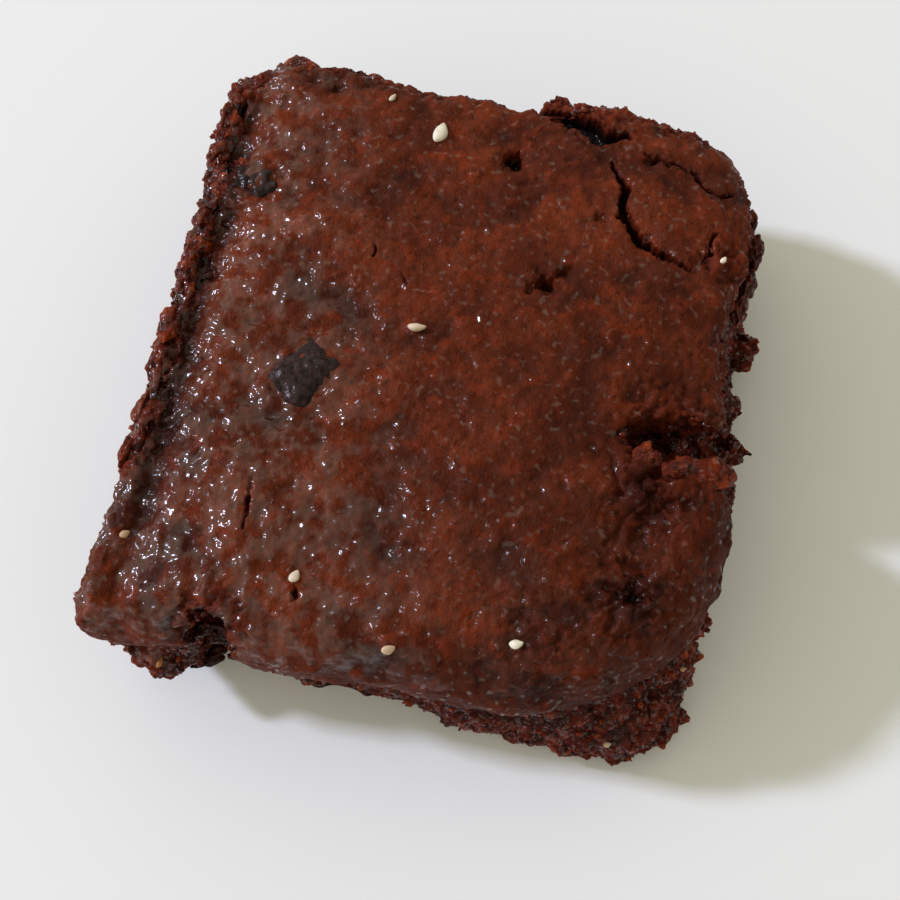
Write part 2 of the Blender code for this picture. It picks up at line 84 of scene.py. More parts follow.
# The photograph's camera: where it stands, what it looks at and its field of view.
CAMERA_PLACE = (12.07, -69.67, 188.89)
CAMERA_AIM = (0.83, -11.83, 27.0)
CAMERA_FIELD_DEGREES = 34.94

# The window light: its distance and size in metres, its power and where it hangs.
WINDOW_DISTANCE = 3.0
WINDOW_SIZE = (0.25, 0.29)
WINDOW_WATTS = 65.0
WINDOW_COLOUR = (0.89, 0.94, 1.21)
WINDOW_RISE_DEGREES = 36.0
WINDOW_TURN_DEGREES = 4.0

# The room's soft light: where it is brightest, and how bright it is away from and at that side.
BRIGHT_SIDE = (-0.95, 0.1, 0.0)
DIM_AIR = (0.35, 0.337, 0.27, 1.0)
BRIGHT_AIR = (0.96, 0.93, 0.745, 1.0)

# Cracks and torn places in the crust: points along each one, its widest gap and its depth.
Crack = namedtuple("Crack", "name points width depth")

CRACKS = (
    Crack(
        "main",
        ((16.9, 31.6), (17.7, 30.5), (19.4, 27.8), (19.0, 25.5), (19.8, 23.4), (22.1, 21.0),
         (24.9, 19.3), (27.6, 18.6), (29.0, 18.2)),
        1.15, 4.0,
    ),
    Crack(
        "rupture",
        ((6.4, 38.9), (8.6, 38.2), (11.0, 37.9), (13.2, 36.7), (14.8, 35.4), (18.4, 36.2)),
        3.0, 2.4,
    ),
    Crack(
        "corner",
        ((21.0, 33.8), (24.0, 33.0), (25.6, 32.6), (28.0, 32.3), (29.2, 30.2), (31.2, 29.8), (33.0, 30.4)),
        0.7, 1.6,
    ),
    Crack("edge", ((31.6, 24.4), (31.2, 22.4), (30.4, 19.6)), 0.6, 1.6),
    Crack("near_left", ((-18.9, -20.0), (-18.7, -22.6), (-18.3, -26.0)), 0.55, 1.4),
    Crack("far_left", ((-10.7, 14.0), (-10.6, 12.6)), 0.35, 0.6),
    Crack("left_bits", ((-6.6, 10.2), (-6.0, 9.0)), 0.3, 0.6),
    Crack("near_bits", ((-11.0, -31.6), (-10.4, -33.0)), 0.5, 1.0),
)

# Pits in the crust: x, y, the half sizes of the mouth, its turn and depth.
Pit = namedtuple("Pit", "x y half_x half_y turn depth")

PITS = (
    Pit(11.4, 12.8, 1.7, 1.0, 20, 1.4),
    Pit(13.4, 14.9, 1.4, 0.45, 45, 1.0),
    Pit(9.4, 11.6, 0.9, 0.5, 60, 0.9),
    Pit(4.4, 30.1, 2.0, 1.2, -30, 0.8),
    Pit(22.0, 33.1, 1.1, 0.6, 30, 1.2),
    Pit(24.0, 32.6, 0.6, 0.5, 0, 1.0),
    Pit(16.7, 23.4, 1.0, 0.8, 0, 0.7),
    Pit(-20.8, 36.4, 1.1, 0.5, 15, 0.7),
    Pit(28.6, -24.7, 2.1, 1.5, 25, 0.7),
    Pit(27.0, -34.6, 0.8, 0.5, 30, 0.8),
)

# Broken places, where the crust is lumpy and torn: x, y, spread and strength.
Patch = namedtuple("Patch", "x y spread strength")

BROKEN = (
    Patch(30.0, -3.0, 6.5, 0.9),
    Patch(28.0, -12.0, 6.0, 0.95),
    Patch(28.5, -25.0, 5.5, 0.8),
    Patch(14.0, 37.5, 4.0, 0.8),
    Patch(33.5, 20.5, 3.6, 0.9),
    Patch(4.4, 30.0, 2.6, 0.6),
    Patch(11.3, 13.0, 2.2, 0.6),
    Patch(-30.5, 18.0, 4.0, 0.7),
    Patch(-27.0, 35.0, 5.0, 0.5),
    Patch(18.0, -32.0, 8.0, 0.4),
    Patch(36.0, 8.0, 4.0, 0.5),
)
# Places of painted shade in the pits, the gully by the cleft and the rupture: x, y, spread and strength.
PAINTED_SHADE_SPOTS = (
    Patch(27.9, -13.0, 2.6, 0.75),
    Patch(26.6, -10.6, 1.6, 0.6),
    Patch(28.4, -25.0, 2.6, 0.8),
    Patch(27.0, -34.4, 1.2, 0.6),
    Patch(4.4, 30.1, 2.0, 0.45),
    Patch(16.7, 23.4, 1.2, 0.5),
    Patch(-20.8, 36.4, 1.4, 0.5),
    Patch(13.4, 37.0, 2.2, 0.5),
    Patch(23.0, 32.8, 1.8, 0.4),
)

# Large places of painted shade on the crust, at the near right and the middle right.
SHADED_CRUST_AREAS = (Patch(31.0, -24.0, 17.0, 0.34), Patch(27.0, 2.0, 14.0, 0.14))

# The cleft that is torn into the right side: its middle, half sizes and turn.
CLEFT = Pit(31.6, -5.2, 6.4, 3.0, 6, 0.0)

# The notch under the crust at the near left, and the groove along the left rim.
NOTCH = Pit(-20.3, -39.4, 2.3, 3.4, 0, 0.0)
NOTCH_DEPTH = 3.2
GROOVE_X = -31.4
GROOVE_WIDTH = 1.7
GROOVE_ENDS = ((-36.0, -24.0), (36.0, 32.0))

# Sesame seeds that show: x, y, length, width, turn about +Z and how toasted they are.
Seed = namedtuple("Seed", "x y length width turn toasted")

SEEDS = (
    Seed(-5.8, 31.6, 3.0, 1.95, 80, 0.05),
    Seed(-13.2, 36.1, 1.3, 0.7, 60, 0.3),
    Seed(-3.3, 3.3, 2.4, 1.1, 5, 0.45),
    Seed(-11.1, -30.3, 1.7, 1.25, 70, 0.25),
    Seed(1.4, -36.6, 1.7, 1.2, 30, 0.6),
    Seed(15.8, -33.2, 1.7, 1.15, 15, 0.0),
    Seed(-32.4, -28.8, 1.4, 1.0, 40, 0.7),
    Seed(32.9, 20.0, 1.1, 0.7, 60, 0.0),
    Seed(29.3, -39.6, 1.1, 0.7, 20, 0.5),
    Seed(37.0, -28.9, 0.9, 0.6, 20, 0.8),
    Seed(-27.6, -40.7, 1.5, 0.8, 80, 1.0),
)

SEED_RINGS = 14
SEED_SEGMENTS = 20
SEED_THICKNESS = 0.45
SEED_TIP = 0.35
SEED_BOW = 0.06
SEED_UNEVENNESS = 0.05
SEED_RAISE = 0.06
SEED_LEVELLING = 0.4

# Chunks of crumb that stand out: x, y and z or None for the surface's own height, half sizes along,
# across and up, turn, and how dark they are painted: partly their own darker colour, as on the left
# rim and the black flake at the notch, partly painted shade in the cleft and on the right side.
Chunk = namedtuple("Chunk", "x y z half_x half_y half_z turn dark")

CHUNKS = (
    Chunk(-31.6, 36.2, None, 1.6, 1.3, 1.0, 40, 0.3),
    Chunk(-34.0, 33.6, None, 1.2, 1.6, 1.1, 10, 0.4),
    Chunk(-34.4, 29.6, None, 1.2, 2.5, 1.2, 8, 0.2),
    Chunk(-34.2, 24.4, None, 1.3, 1.8, 1.1, -15, 0.3),
    Chunk(-32.2, 19.3, None, 1.5, 1.5, 1.2, 20, 0.0),
    Chunk(-30.6, 23.1, None, 1.6, 0.9, 0.9, -15, 0.0),
    Chunk(-33.6, 14.4, None, 1.3, 1.8, 1.0, 10, 0.4),
    Chunk(-33.7, 9.6, None, 1.4, 2.0, 1.2, -10, 0.2),
    Chunk(-34.0, 4.4, None, 1.3, 2.2, 1.1, 10, 0.35),
    Chunk(-34.2, -1.2, None, 1.2, 2.2, 1.1, -8, 0.25),
    Chunk(-34.5, -6.8, None, 1.1, 2.1, 1.0, 5, 0.4),
    Chunk(-34.7, -12.4, None, 1.0, 2.2, 0.9, -5, 0.3),
    Chunk(-35.0, -18.2, None, 0.9, 2.2, 0.8, 0, 0.4),
    Chunk(-27.6, 41.6, None, 1.5, 0.8, 0.9, -20, 0.0),
    Chunk(-21.4, 41.9, None, 1.6, 0.7, 0.8, 0, 0.0),
    Chunk(-17.9, 41.5, None, 1.2, 0.6, 0.7, -20, 0.1),
    Chunk(12.0, 39.8, None, 1.4, 0.8, 0.7, 0, 0.2),
    Chunk(26.6, -7.6, None, 1.4, 1.0, 0.7, 60, 0.2),
    Chunk(30.6, -8.9, None, 1.6, 1.1, 0.6, 10, 0.2),
    Chunk(33.6, -8.4, None, 2.6, 1.9, 0.8, -10, 0.3),
    Chunk(36.0, -7.8, None, 1.9, 1.7, 0.9, 20, 0.3),
    Chunk(34.4, -3.4, None, 2.0, 1.4, 0.9, 30, 0.9),
    Chunk(37.5, 26.2, 19.5, 1.2, 2.2, 2.2, 5, 0.6),
    Chunk(37.2, 21.6, 19.0, 1.2, 1.9, 2.4, -5, 0.6),
    Chunk(36.4, 30.2, 19.5, 1.1, 1.8, 1.8, 25, 0.4),
    Chunk(36.4, 17.4, 20.0, 1.0, 1.9, 1.9, 0, 0.5),
    Chunk(-22.4, -38.2, 7.5, 2.2, 1.1, 1.0, 35, 1.0),
    Chunk(-26.6, -39.6, 9.0, 1.3, 1.1, 1.2, 0, 0.6),
)
CHUNK_SINK = 0.35
CHUNK_GLOSS = 0.3

# How knobbly a chunk is: how fine each swelling is and its share of the chunk's size.
CHUNK_SWELLS = ((0.9, 0.6), (2.1, 0.26), (4.5, 0.09))

# The raisins' pockets in the crust: middle, half sizes and turn.
Raisin = namedtuple("Raisin", "name middle half turn")

RAISINS = (
    Raisin("raisin_top", (-15.2, -4.8, 25.3), (5.4, 3.6, 2.3), 40),
    Raisin("raisin_rim", (-27.4, 20.3, 25.4), (3.6, 2.8, 2.3), 25),
)

# The lobes of raisin skin that show: middle, half sizes, turn and number of ribs.
Lobe = namedtuple("Lobe", "raisin middle half turn ribs")

LOBES = (
    Lobe("raisin_top", (-15.2, -4.8, 24.9), (6.5, 4.7, 3.0), 40, 12),
    Lobe("raisin_rim", (-29.7, 20.6, 25.1), (2.6, 2.1, 2.0), 60, 0),
    Lobe("raisin_rim", (-27.1, 19.9, 25.2), (2.5, 2.4, 2.2), 100, 0),
)

# Shares of a raisin's size: how its ribs bend, and how high its ribs, folds and wrinkles are.
RIB_BEND = 0.2
RIB_HEIGHT = 0.014
FOLD_HEIGHT = 0.22
WRINKLE_HEIGHT = 0.03

# The level up to which the sides are crumb, how much higher or lower it lies at some sides, and
# the levels between which the surface becomes the crust's top.
CRUMB_LEVEL = 16.5
RIGHT_RISE = 5.5
FAR_RISE = 4.0
LEFT_RISE = 5.0
NEAR_RIGHT_DROP = 3.0
NEAR_RIGHT_SPREAD = 20.0
TOP_LEVELS = (16.0, 18.0)

# Sizes of the shell: its first even grid, its smoothing, the crust's own thickness and the levels
# above which the grid is halved.
SHELL_GRID = 0.71
FOOT_SNAP = 0.45
FINE_LID_LEVEL = 12.0
FINE_BODY_LEVEL = 0.8
CRUST_SMOOTHING = 9
CRUMB_SMOOTHING = 2
CRACK_REFINE_DEPTH = -1.6
CRACK_REFINE_REACH = 0.8
NO_OPENING = 5.0
LID_THICKNESS = 1.2
BROKEN_THICKNESS = 1.0
TUCK_DEPTH = 1.1
TUCK_RINGS = 3
HIDDEN_DROP = 3.0
POCKET_FILL = 0.75
POCKET_DROP = 0.9
RAISIN_COLLAR = 0.45
PIT_RIM = 0.75

# Loose crumbs: how many start on each square millimetre before they are thinned out, and which
# faces carry none: those near the foot and those with many corners, which are hidden.
COARSE_DENSITY = 0.16
FINE_DENSITY = 1.1
BARE_LEVEL = 0.7
MOST_CORNERS = 12

# Kinds of node that are used again and again.
ATTRIBUTE = "ShaderNodeAttribute"
BUMP = "ShaderNodeBump"
CELLS = "ShaderNodeTexVoronoi"
COORDINATES = "ShaderNodeTexCoord"
MAP_RANGE = "ShaderNodeMapRange"
MATH = "ShaderNodeMath"
MIX = "ShaderNodeMix"
NAMED_ATTRIBUTE = "GeometryNodeInputNamedAttribute"
NOISE = "ShaderNodeTexNoise"
POSITION = "GeometryNodeInputPosition"
RANDOM = "FunctionNodeRandomValue"
REALIZE = "GeometryNodeRealizeInstances"
SET_POSITION = "GeometryNodeSetPosition"
STORE_ATTRIBUTE = "GeometryNodeStoreNamedAttribute"
VECTOR_MATH = "ShaderNodeVectorMath"


def linear(hex_colour):
    """Turn an sRGB hex colour into linear red, green and blue."""
    channels = [int(hex_colour[k:k + 2], 16) / 255 for k in (1, 3, 5)]
    return tuple(c / 12.92 if c <= 0.04045 else ((c + 0.055) / 1.055) ** 2.4 for c in channels)


def colour_setting(name, description, hex_colour):
    """Return a colour property that starts at an sRGB hex colour."""
    return bpy.props.FloatVectorProperty(name=name, description=description, subtype="COLOR", size=3,
                                         min=0.0, max=1.0, default=linear(hex_colour))


def length_setting(name, description, millimetres):
    """Return a length property that starts at a size in millimetres."""
    return bpy.props.FloatProperty(name=name, description=description, unit="LENGTH",
                                   default=millimetres * MM, precision=5)


class BrownieLooks(bpy.types.PropertyGroup):
    """Sizes and colours of the brownie's surfaces."""

    crust_light: colour_setting("Light crust", "Colour of the crust where it baked pale", "#642811")
    crust_dark: colour_setting("Dark crust", "Colour of the crust where it baked dark", "#491b0c")
    crust_olive: colour_setting("Dull crust", "Colour of the dull patches of crust", "#4b2013")
    crust_red: colour_setting("Red crust", "Colour of thin, moist crust", "#74280e")
    # The speck colour also serves as painted shade in the crust's hollows.
    speck_and_shade: colour_setting("Dark specks", "Colour of the cocoa specks in the crust", "#260d08")
    crumb_colour: colour_setting("Crumb", "Colour of the moist crumb at the sides", "#5c1d0f")
    # The tip colour is painted glow of light through thin crumb tips; the dark crumb colour is the crumb's
    # own dark grain and also painted shade in its hollows.
    crumb_tip_glow: colour_setting("Crumb tips", "Colour of the crumb's thin tips", "#933a14")
    crumb_dark_and_shade: colour_setting("Dark crumb", "Colour of the crumb's hollows", "#1f0906")
    lump_size: length_setting("Lump size", "Width of the crust's soft lumps", 3.6)
    lump_height: length_setting("Lump height", "Height of the crust's soft lumps", 0.5)
    grain_size: length_setting("Grain size", "Width of the crust's grain", 1.1)
    grain_height: length_setting("Grain height", "Height of the crust's grain", 0.18)
    crumb_size: length_setting("Crumb size", "Width of the crumb's lumps", 2.2)
    crumb_height: length_setting("Crumb height", "Height of the crumb's lumps", 1.05)


class LooseCrumbs(bpy.types.PropertyGroup):
    """The loose crumbs that cling to the crumbly places."""

    coarse_spacing: length_setting("Coarse spacing", "Least distance between coarse crumbs", 1.6)
    coarse_size: length_setting("Coarse size", "Half size of the largest coarse crumb", 0.5)
    fine_spacing: length_setting("Fine spacing", "Least distance between fine crumbs", 0.5)
    fine_size: length_setting("Fine size", "Half size of the largest fine crumb", 0.21)
    seed: bpy.props.IntProperty(
        name="Seed", description="Fixed seed of the scatter", default=11)


def to_part(x, y, z):
    """Turn drawing millimetres into the part's metres."""
    return Vector(((x - MIDDLE_X) * MM, (y - MIDDLE_Y) * MM, z * MM))


def to_drawing(point):
    """Turn the part's metres into drawing millimetres."""
    return point.x / MM + MIDDLE_X, point.y / MM + MIDDLE_Y, point.z / MM


def smooth_step(low, high, value):
    """Rise from 0 at low to 1 at high without a kink."""
    share = min(1.0, max(0.0, (value - low) / (high - low)))
    return share * share * (3.0 - 2.0 * share)


def bell(distance, spread):
    """Return a bell curve that is 1 at no distance."""
    return exp(-(distance / spread) ** 2)


def add_node(tree, kind, inputs=None, **settings):
    """Add a node with its settings, and set each input or link it to a node or socket."""
    node = tree.nodes.new(kind)
    for name, value in settings.items():
        setattr(node, name, value)
    for key, value in (inputs or {}).items():
        if isinstance(value, bpy.types.Node):
            value = value.outputs[0]
        if isinstance(value, bpy.types.NodeSocket):
            tree.links.new(value, node.inputs[key])
        else:
            node.inputs[key].default_value = value
    return node


def line_gap(x, y, crack):
    """Return how far a point is outside a crack's edge, in millimetres."""
    best = 1e9
    count = len(crack.points) - 1
    for k in range(count):
        first_x, first_y = crack.points[k]
        along_x = crack.points[k + 1][0] - first_x
        along_y = crack.points[k + 1][1] - first_y
        share = ((x - first_x) * along_x + (y - first_y) * along_y) / (along_x ** 2 + along_y ** 2)
        share = min(1.0, max(0.0, share))
        distance = hypot(x - first_x - share * along_x, y - first_y - share * along_y)
        taper = sin(pi * min(0.97, max(0.03, (k + share) / count)))
        best = min(best, distance - crack.width / 2 * (0.35 + 0.65 * taper))
    return best


def pit_gap(x, y, pit):
    """Return how far a point is outside a pit's mouth, in millimetres."""
    turn = radians(pit.turn)
    along = ((x - pit.x) * cos(turn) + (y - pit.y) * sin(turn)) / pit.half_x
    aside = ((y - pit.y) * cos(turn) - (x - pit.x) * sin(turn)) / pit.half_y
    return (hypot(along, aside) - 1.0) * min(pit.half_x, pit.half_y)


def patch_sum(x, y, patches):
    """Return how strongly a place lies in any of several patches."""
    return min(1.0, sum(p.strength * bell(hypot(x - p.x, y - p.y), p.spread) for p in patches))


def torn(x, y):
    """Shift a place by seeded noise, so that straight cracks get torn edges."""
    wide = noise.noise_vector(Vector((x, y, 3.0)) / 1.7) * 0.55
    fine = noise.noise_vector(Vector((x, y, 8.0)) / 0.55) * 0.26
    return x + wide.x + fine.x, y + wide.y + fine.y


def opening_at(x, y):
    """Return the distance to the nearest crack or pit edge and the depth cut there."""
    torn_x, torn_y = torn(x, y)
    nearest = NO_OPENING
    depth = 0.0
    for crack in CRACKS:
        gap = line_gap(torn_x, torn_y, crack)
        nearest = min(nearest, gap)
        depth = max(depth, crack.depth * smooth_step(0.04, -0.22 - 0.1 * crack.width, gap))
    for pit in PITS:
        gap = pit_gap(torn_x, torn_y, pit)
        nearest = min(nearest, gap + PIT_RIM)
        depth = max(depth, pit.depth * smooth_step(0.25, -pit.half_y * 0.8, gap))
    return nearest, depth


def crumb_field(point, normal):
    """Return how deep a place lies in the crumb in millimetres, below nothing on the crust."""
    x, y, z = to_drawing(point)
    spot = Vector((x, y, z))
    ragged = 1.5 * noise.noise(spot / 3.2) + 0.8 * noise.noise(spot / 1.2)
    level = CRUMB_LEVEL
    level += RIGHT_RISE * smooth_step(30.0, 36.0, x) * smooth_step(-9.0, -4.0, y)
    level += FAR_RISE * smooth_step(FAR_SIDE - 5.0, FAR_SIDE - 1.0, y)
    level += LEFT_RISE * smooth_step(LEFT_SIDE + 3.0, LEFT_SIDE + 1.0, x) * smooth_step(-30.0, -16.0, y)
    level -= NEAR_RIGHT_DROP * bell(hypot(x - RIGHT_SIDE, y - NEAR_SIDE), NEAR_RIGHT_SPREAD)
    low = level + ragged - z
    in_cleft = min(-pit_gap(x, y, CLEFT) - 0.6 * ragged, 7.0 * (0.5 - normal.z))
    notch = -pit_gap(x, y, NOTCH) - 0.25 * ragged
    rim = LEFT_SIDE + 3.4 - x + 0.7 * ragged - 4.5 * smooth_step(-14.0, -26.0, y)
    far_rim = y - FAR_SIDE + 1.0 + 0.8 * ragged
    right_rim = x - RIGHT_SIDE + 1.6 + 0.8 * ragged - 4.0 * smooth_step(-8.0, -13.0, y)
    return max(low, in_cleft, notch, rim, far_rim, right_rim)


def raisin_rim(raisin):
    """Return a raisin's outline in plan as a pit."""
    x, y, _ = raisin.middle
    return Pit(x, y, raisin.half[0] + 0.3, raisin.half[1] + 0.3, raisin.turn, 0.0)


def painted_crust_shading(x, y):
    """Return the crust's painted shading: paler at the far side, painted shade at the near right."""
    return 0.98 + 0.16 * smooth_step(-20.0, 36.0, y) - patch_sum(x, y, SHADED_CRUST_AREAS)


def wet_gloss(x, y):
    """Return how wet the crust looks: most at the near left, least at the far right."""
    across = smooth_step(2.0, -27.0, x + 0.3 * y)
    patch = 0.5 + 0.5 * noise.noise(Vector((x, y, 2.0)) / 8.0)
    return min(1.0, 0.05 + across * (0.65 + 0.8 * patch) + 0.18 * smooth_step(0.0, -30.0, y))


def link_piece(name, mesh):
    """Make an object at the origin that holds a mesh."""
    piece = bpy.data.objects.new(name, mesh)
    bpy.context.scene.collection.objects.link(piece)
    return piece


def to_mesh(data, name):
    """Store a bmesh as a mesh and free it."""
    mesh = bpy.data.meshes.new(name)
    data.to_mesh(mesh)
    data.free()
    return mesh


def evaluated_mesh(piece):
    """Return the mesh that an object's modifiers make, and take the modifiers off."""
    result = bpy.data.meshes.new_from_object(piece.evaluated_get(bpy.context.evaluated_depsgraph_get()))
    piece.modifiers.clear()
    return result


def ball_matrix(place, half, turn):
    """Return the matrix that turns a unit ball into an ellipsoid with half sizes in millimetres."""
    size = Matrix.Diagonal(Vector(half) * MM).to_4x4()
    return Matrix.Translation(place) @ Matrix.Rotation(radians(turn), 4, "Z") @ size


def even_shell():
    """Turn the brownie's solid into an even grid, with the raisins' pockets filled."""
    data = bmesh.new()
    data.from_mesh(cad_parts["brownie"].data)
    bmesh.ops.remove_doubles(data, verts=data.verts, dist=1e-6)
    for raisin in RAISINS:
        place = to_part(*raisin.middle) - Vector((0, 0, POCKET_DROP * MM))
        half = [size + POCKET_FILL for size in raisin.half]
        bmesh.ops.create_icosphere(data, subdivisions=4, radius=1.0,
                                   matrix=ball_matrix(place, half, raisin.turn))
    piece = link_piece("shell", to_mesh(data, "shell"))
    remesh = piece.modifiers.new("even grid", "REMESH")
    remesh.mode = "VOXEL"
    remesh.voxel_size = SHELL_GRID * MM
    shell = bmesh.new()
    shell.from_mesh(evaluated_mesh(piece))
    bpy.data.objects.remove(piece)
    shell.normal_update()
    crust = [v for v in shell.verts if crumb_field(v.co, v.normal) < 0.5]
    for vertices, rounds in ((shell.verts, CRUMB_SMOOTHING), (crust, CRUST_SMOOTHING - CRUMB_SMOOTHING)):
        for _ in range(rounds):
            bmesh.ops.smooth_vert(shell, verts=vertices, factor=0.5,
                                  use_axis_x=True, use_axis_y=True, use_axis_z=True)
    for vertex in shell.verts:
        if vertex.co.z < FOOT_SNAP * MM:
            vertex.co.z = 0.0
    shell.normal_update()
    return shell


def largest_patch(faces):
    """Return the largest connected set among some faces."""
    left = set(faces)
    best = set()
    while left:
        patch = {left.pop()}
        front = list(patch)
        while front:
            face = front.pop()
            for edge in face.edges:
                for other in edge.link_faces:
                    if other in left:
                        left.discard(other)
                        patch.add(other)
                        front.append(other)
        if len(patch) > len(best):
            best = patch
    return best


def shell_parts(shell):
    """Part the shell's faces into the crust lid and the crumb body, which runs on under it."""
    field = {v: crumb_field(v.co, v.normal) for v in shell.verts}
    crumb = largest_patch(f for f in shell.faces if sum(field[v] for v in f.verts) > 0)
    crust = largest_patch(f for f in shell.faces if f not in crumb)
    depth = {v: 0 for f in shell.faces if f not in crust for v in f.verts}
    for ring in range(1, TUCK_RINGS + 1):
        for vertex in [v for v in depth if depth[v] == ring - 1]:
            for face in vertex.link_faces:
                for other in face.verts:
                    depth.setdefault(other, ring)
    lid = [f for f in shell.faces if f in crust]
    body = [f for f in shell.faces if all(v in depth for v in f.verts)]
    return lid, body, depth


def smoothed_border(faces):
    """Return where the border vertices of some faces lie once their steps are evened out."""
    along = {}
    own = set(faces)
    for face in faces:
        for edge in face.edges:
            if sum(1 for f in edge.link_faces if f in own) == 1:
                for vertex in edge.verts:
                    along.setdefault(vertex, []).append(edge.other_vert(vertex).co)
    return {v: v.co.lerp(sum(near, Vector()) / len(near), 0.6) for v, near in along.items()}


def lid_shell(faces):
    """Make the crust a lid of its own thickness, whose inner side is left coarse and smooth."""
    data = bmesh.new()
    skin = data.verts.layers.float.new("skin")
    border = smoothed_border(faces)
    own = set(faces)
    outer = {}
    inner = {}
    for vertex in dict.fromkeys(v for f in faces for v in f.verts):
        x, y, z = to_drawing(vertex.co)
        sunk = opening_at(x, y)[1] * smooth_step(*TOP_LEVELS, z)
        thickness = LID_THICKNESS + BROKEN_THICKNESS * patch_sum(x, y, BROKEN) + sunk
        place = border.get(vertex, vertex.co)
        outer[vertex] = data.verts.new(place)
        outer[vertex][skin] = 1.0
        inner[vertex] = data.verts.new(place - vertex.normal * thickness * MM)
    for face in faces:
        corners = list(face.verts)
        data.faces.new([outer[v] for v in corners])
        data.faces.new([inner[v] for v in reversed(corners)])
        for edge in face.edges:
            if sum(1 for f in edge.link_faces if f in own) == 1:
                first, second = edge.verts
                if corners[(corners.index(first) + 1) % len(corners)] is not second:
                    first, second = second, first
                data.faces.new([outer[second], outer[first], inner[first], inner[second]])
    data.normal_update()
    return data


def body_shell(faces, depth):
    """Make the crumb body, tucked in under the lid and closed out of sight below it."""
    data = bmesh.new()
    skin = data.verts.layers.float.new("skin")
    border = smoothed_border(faces)
    copies = {}
    for face in faces:
        corners = []
        for vertex in face.verts:
            if vertex not in copies:
                x, y, _ = to_drawing(vertex.co)
                inward = TUCK_DEPTH * MM * min(1.0, depth[vertex] / 2)
                inward += NOTCH_DEPTH * MM * smooth_step(0.3, -1.2, pit_gap(x, y, NOTCH))
                copies[vertex] = data.verts.new(border.get(vertex, vertex.co) - vertex.normal * inward)
                copies[vertex][skin] = 1.0
            corners.append(copies[vertex])
        data.faces.new(corners)
    ring = [e.link_loops[0] for e in data.edges if e.is_boundary]
    dropped = {}
    for vertex in dict.fromkeys(corner.vert for corner in ring):
        dropped[vertex] = data.verts.new(vertex.co - Vector((0, 0, HIDDEN_DROP * MM)))
        dropped[vertex][skin] = 1.0
    for corner in ring:
        first = corner.vert
        second = corner.link_loop_next.vert
        data.faces.new([second, first, dropped[first], dropped[second]])
    ring = [e for e in data.edges if e.is_boundary]
    bmesh.ops.holes_fill(data, edges=ring, sides=0)
    foot = [f for f in data.faces if all(v.co.z < 0.01 * MM for v in f.verts)]
    bmesh.ops.dissolve_faces(data, faces=foot)
    data.normal_update()
    return data


def refined(data, wanted):
    """Halve every edge that meets a wanted vertex."""
    edges = dict.fromkeys(e for v in data.verts if wanted(v) for e in v.link_edges)
    edges = [e for e in edges if all(len(f.verts) < 6 for f in e.link_faces)]
    bmesh.ops.subdivide_edges(data, edges=edges, cuts=1, use_grid_fill=True)
    data.normal_update()


def near_opening(data):
    """Return a test for vertices at the edge of a crack or pit in the crust's top."""
    skin = data.verts.layers.float["skin"]

    def test(vertex):
        x, y, z = to_drawing(vertex.co)
        if z < TOP_LEVELS[1] or vertex.normal.z < 0.1 or vertex[skin] < 0.9:
            return False
        return CRACK_REFINE_DEPTH < opening_at(x, y)[0] < CRACK_REFINE_REACH

    return test


def mark_surface(data, all_crumb):
    """Store where the shell is crumb, broken, in painted shade or wet, its painted shading, and how far
    the cracks are.
    """
    names = ("crumb", "gloss", "gap", "cut", "broken", "shade", "crumbly", "painted_shading")
    layers = {name: data.verts.layers.float.new(name) for name in names}
    skin = data.verts.layers.float["skin"]
    for vertex in data.verts:
        x, y, z = to_drawing(vertex.co)
        on_top = smooth_step(0.0, 0.4, vertex.normal.z) * smooth_step(*TOP_LEVELS, z)
        field = crumb_field(vertex.co, vertex.normal)
        gap, depth = opening_at(x, y) if on_top > 0 and not all_crumb else (NO_OPENING, 0.0)
        inside = smooth_step(0.3, -0.3, gap)
        # Painted shade: the pits, the groove inside the left rim, the notch and the body's cleft are
        # marked to be darkened; in the groove it also stands for its wet darkness.
        groove = bell(x - GROOVE_X, GROOVE_WIDTH)
        groove *= smooth_step(*GROOVE_ENDS[0], y) * smooth_step(*GROOVE_ENDS[1], y)
        collar = max(bell(pit_gap(x, y, raisin_rim(r)), 0.7) for r in RAISINS)
        collar *= RAISIN_COLLAR * (0.6 + noise.noise(Vector((x, y, 5.0)) / 1.2))
        shade = min(1.0, (patch_sum(x, y, PAINTED_SHADE_SPOTS) + 0.8 * groove) * on_top)
        shade = max(shade, smooth_step(0.6, -0.6, pit_gap(x, y, NOTCH)))
        edge = (0.7 - 0.4 * smooth_step(-28.0, -33.0, x)) * bell(field, 0.8)
        side = 0.0
        if all_crumb:
            shade = max(shade, smooth_step(0.5, -1.5, pit_gap(x, y, CLEFT)) * smooth_step(24.5, 20.5, z))
            side = smooth_step(0.8, 2.2, z)
        marks = {
            "crumb": 1.0 if all_crumb else max(smooth_step(-0.7, 0.2, field), inside),
            "gloss": wet_gloss(x, y) * smooth_step(0.1, 0.65, vertex.normal.z),
            "gap": gap,
            "cut": (depth - collar) * MM * on_top * vertex[skin],
            "painted_shading": painted_crust_shading(x, y),
            "broken": max(patch_sum(x, y, BROKEN), 0.8 * smooth_step(-5.0, 0.5, field)) * on_top,
            "shade": shade,
            "crumbly": max(side, edge, 0.25 * inside),
        }
        for name, value in marks.items():
            vertex[layers[name]] = value


def new_tree(name, sizes):
    """Start a tree of geometry nodes with a geometry input and named sizes."""
    tree = bpy.data.node_groups.new(name, "GeometryNodeTree")
    tree.is_modifier = True
    tree.interface.new_socket("Geometry", in_out="INPUT", socket_type="NodeSocketGeometry")
    for size in sizes:
        tree.interface.new_socket(size, in_out="INPUT", socket_type="NodeSocketFloat")
    tree.interface.new_socket("Geometry", in_out="OUTPUT", socket_type="NodeSocketGeometry")
    return tree, add_node(tree, "NodeGroupInput").outputs


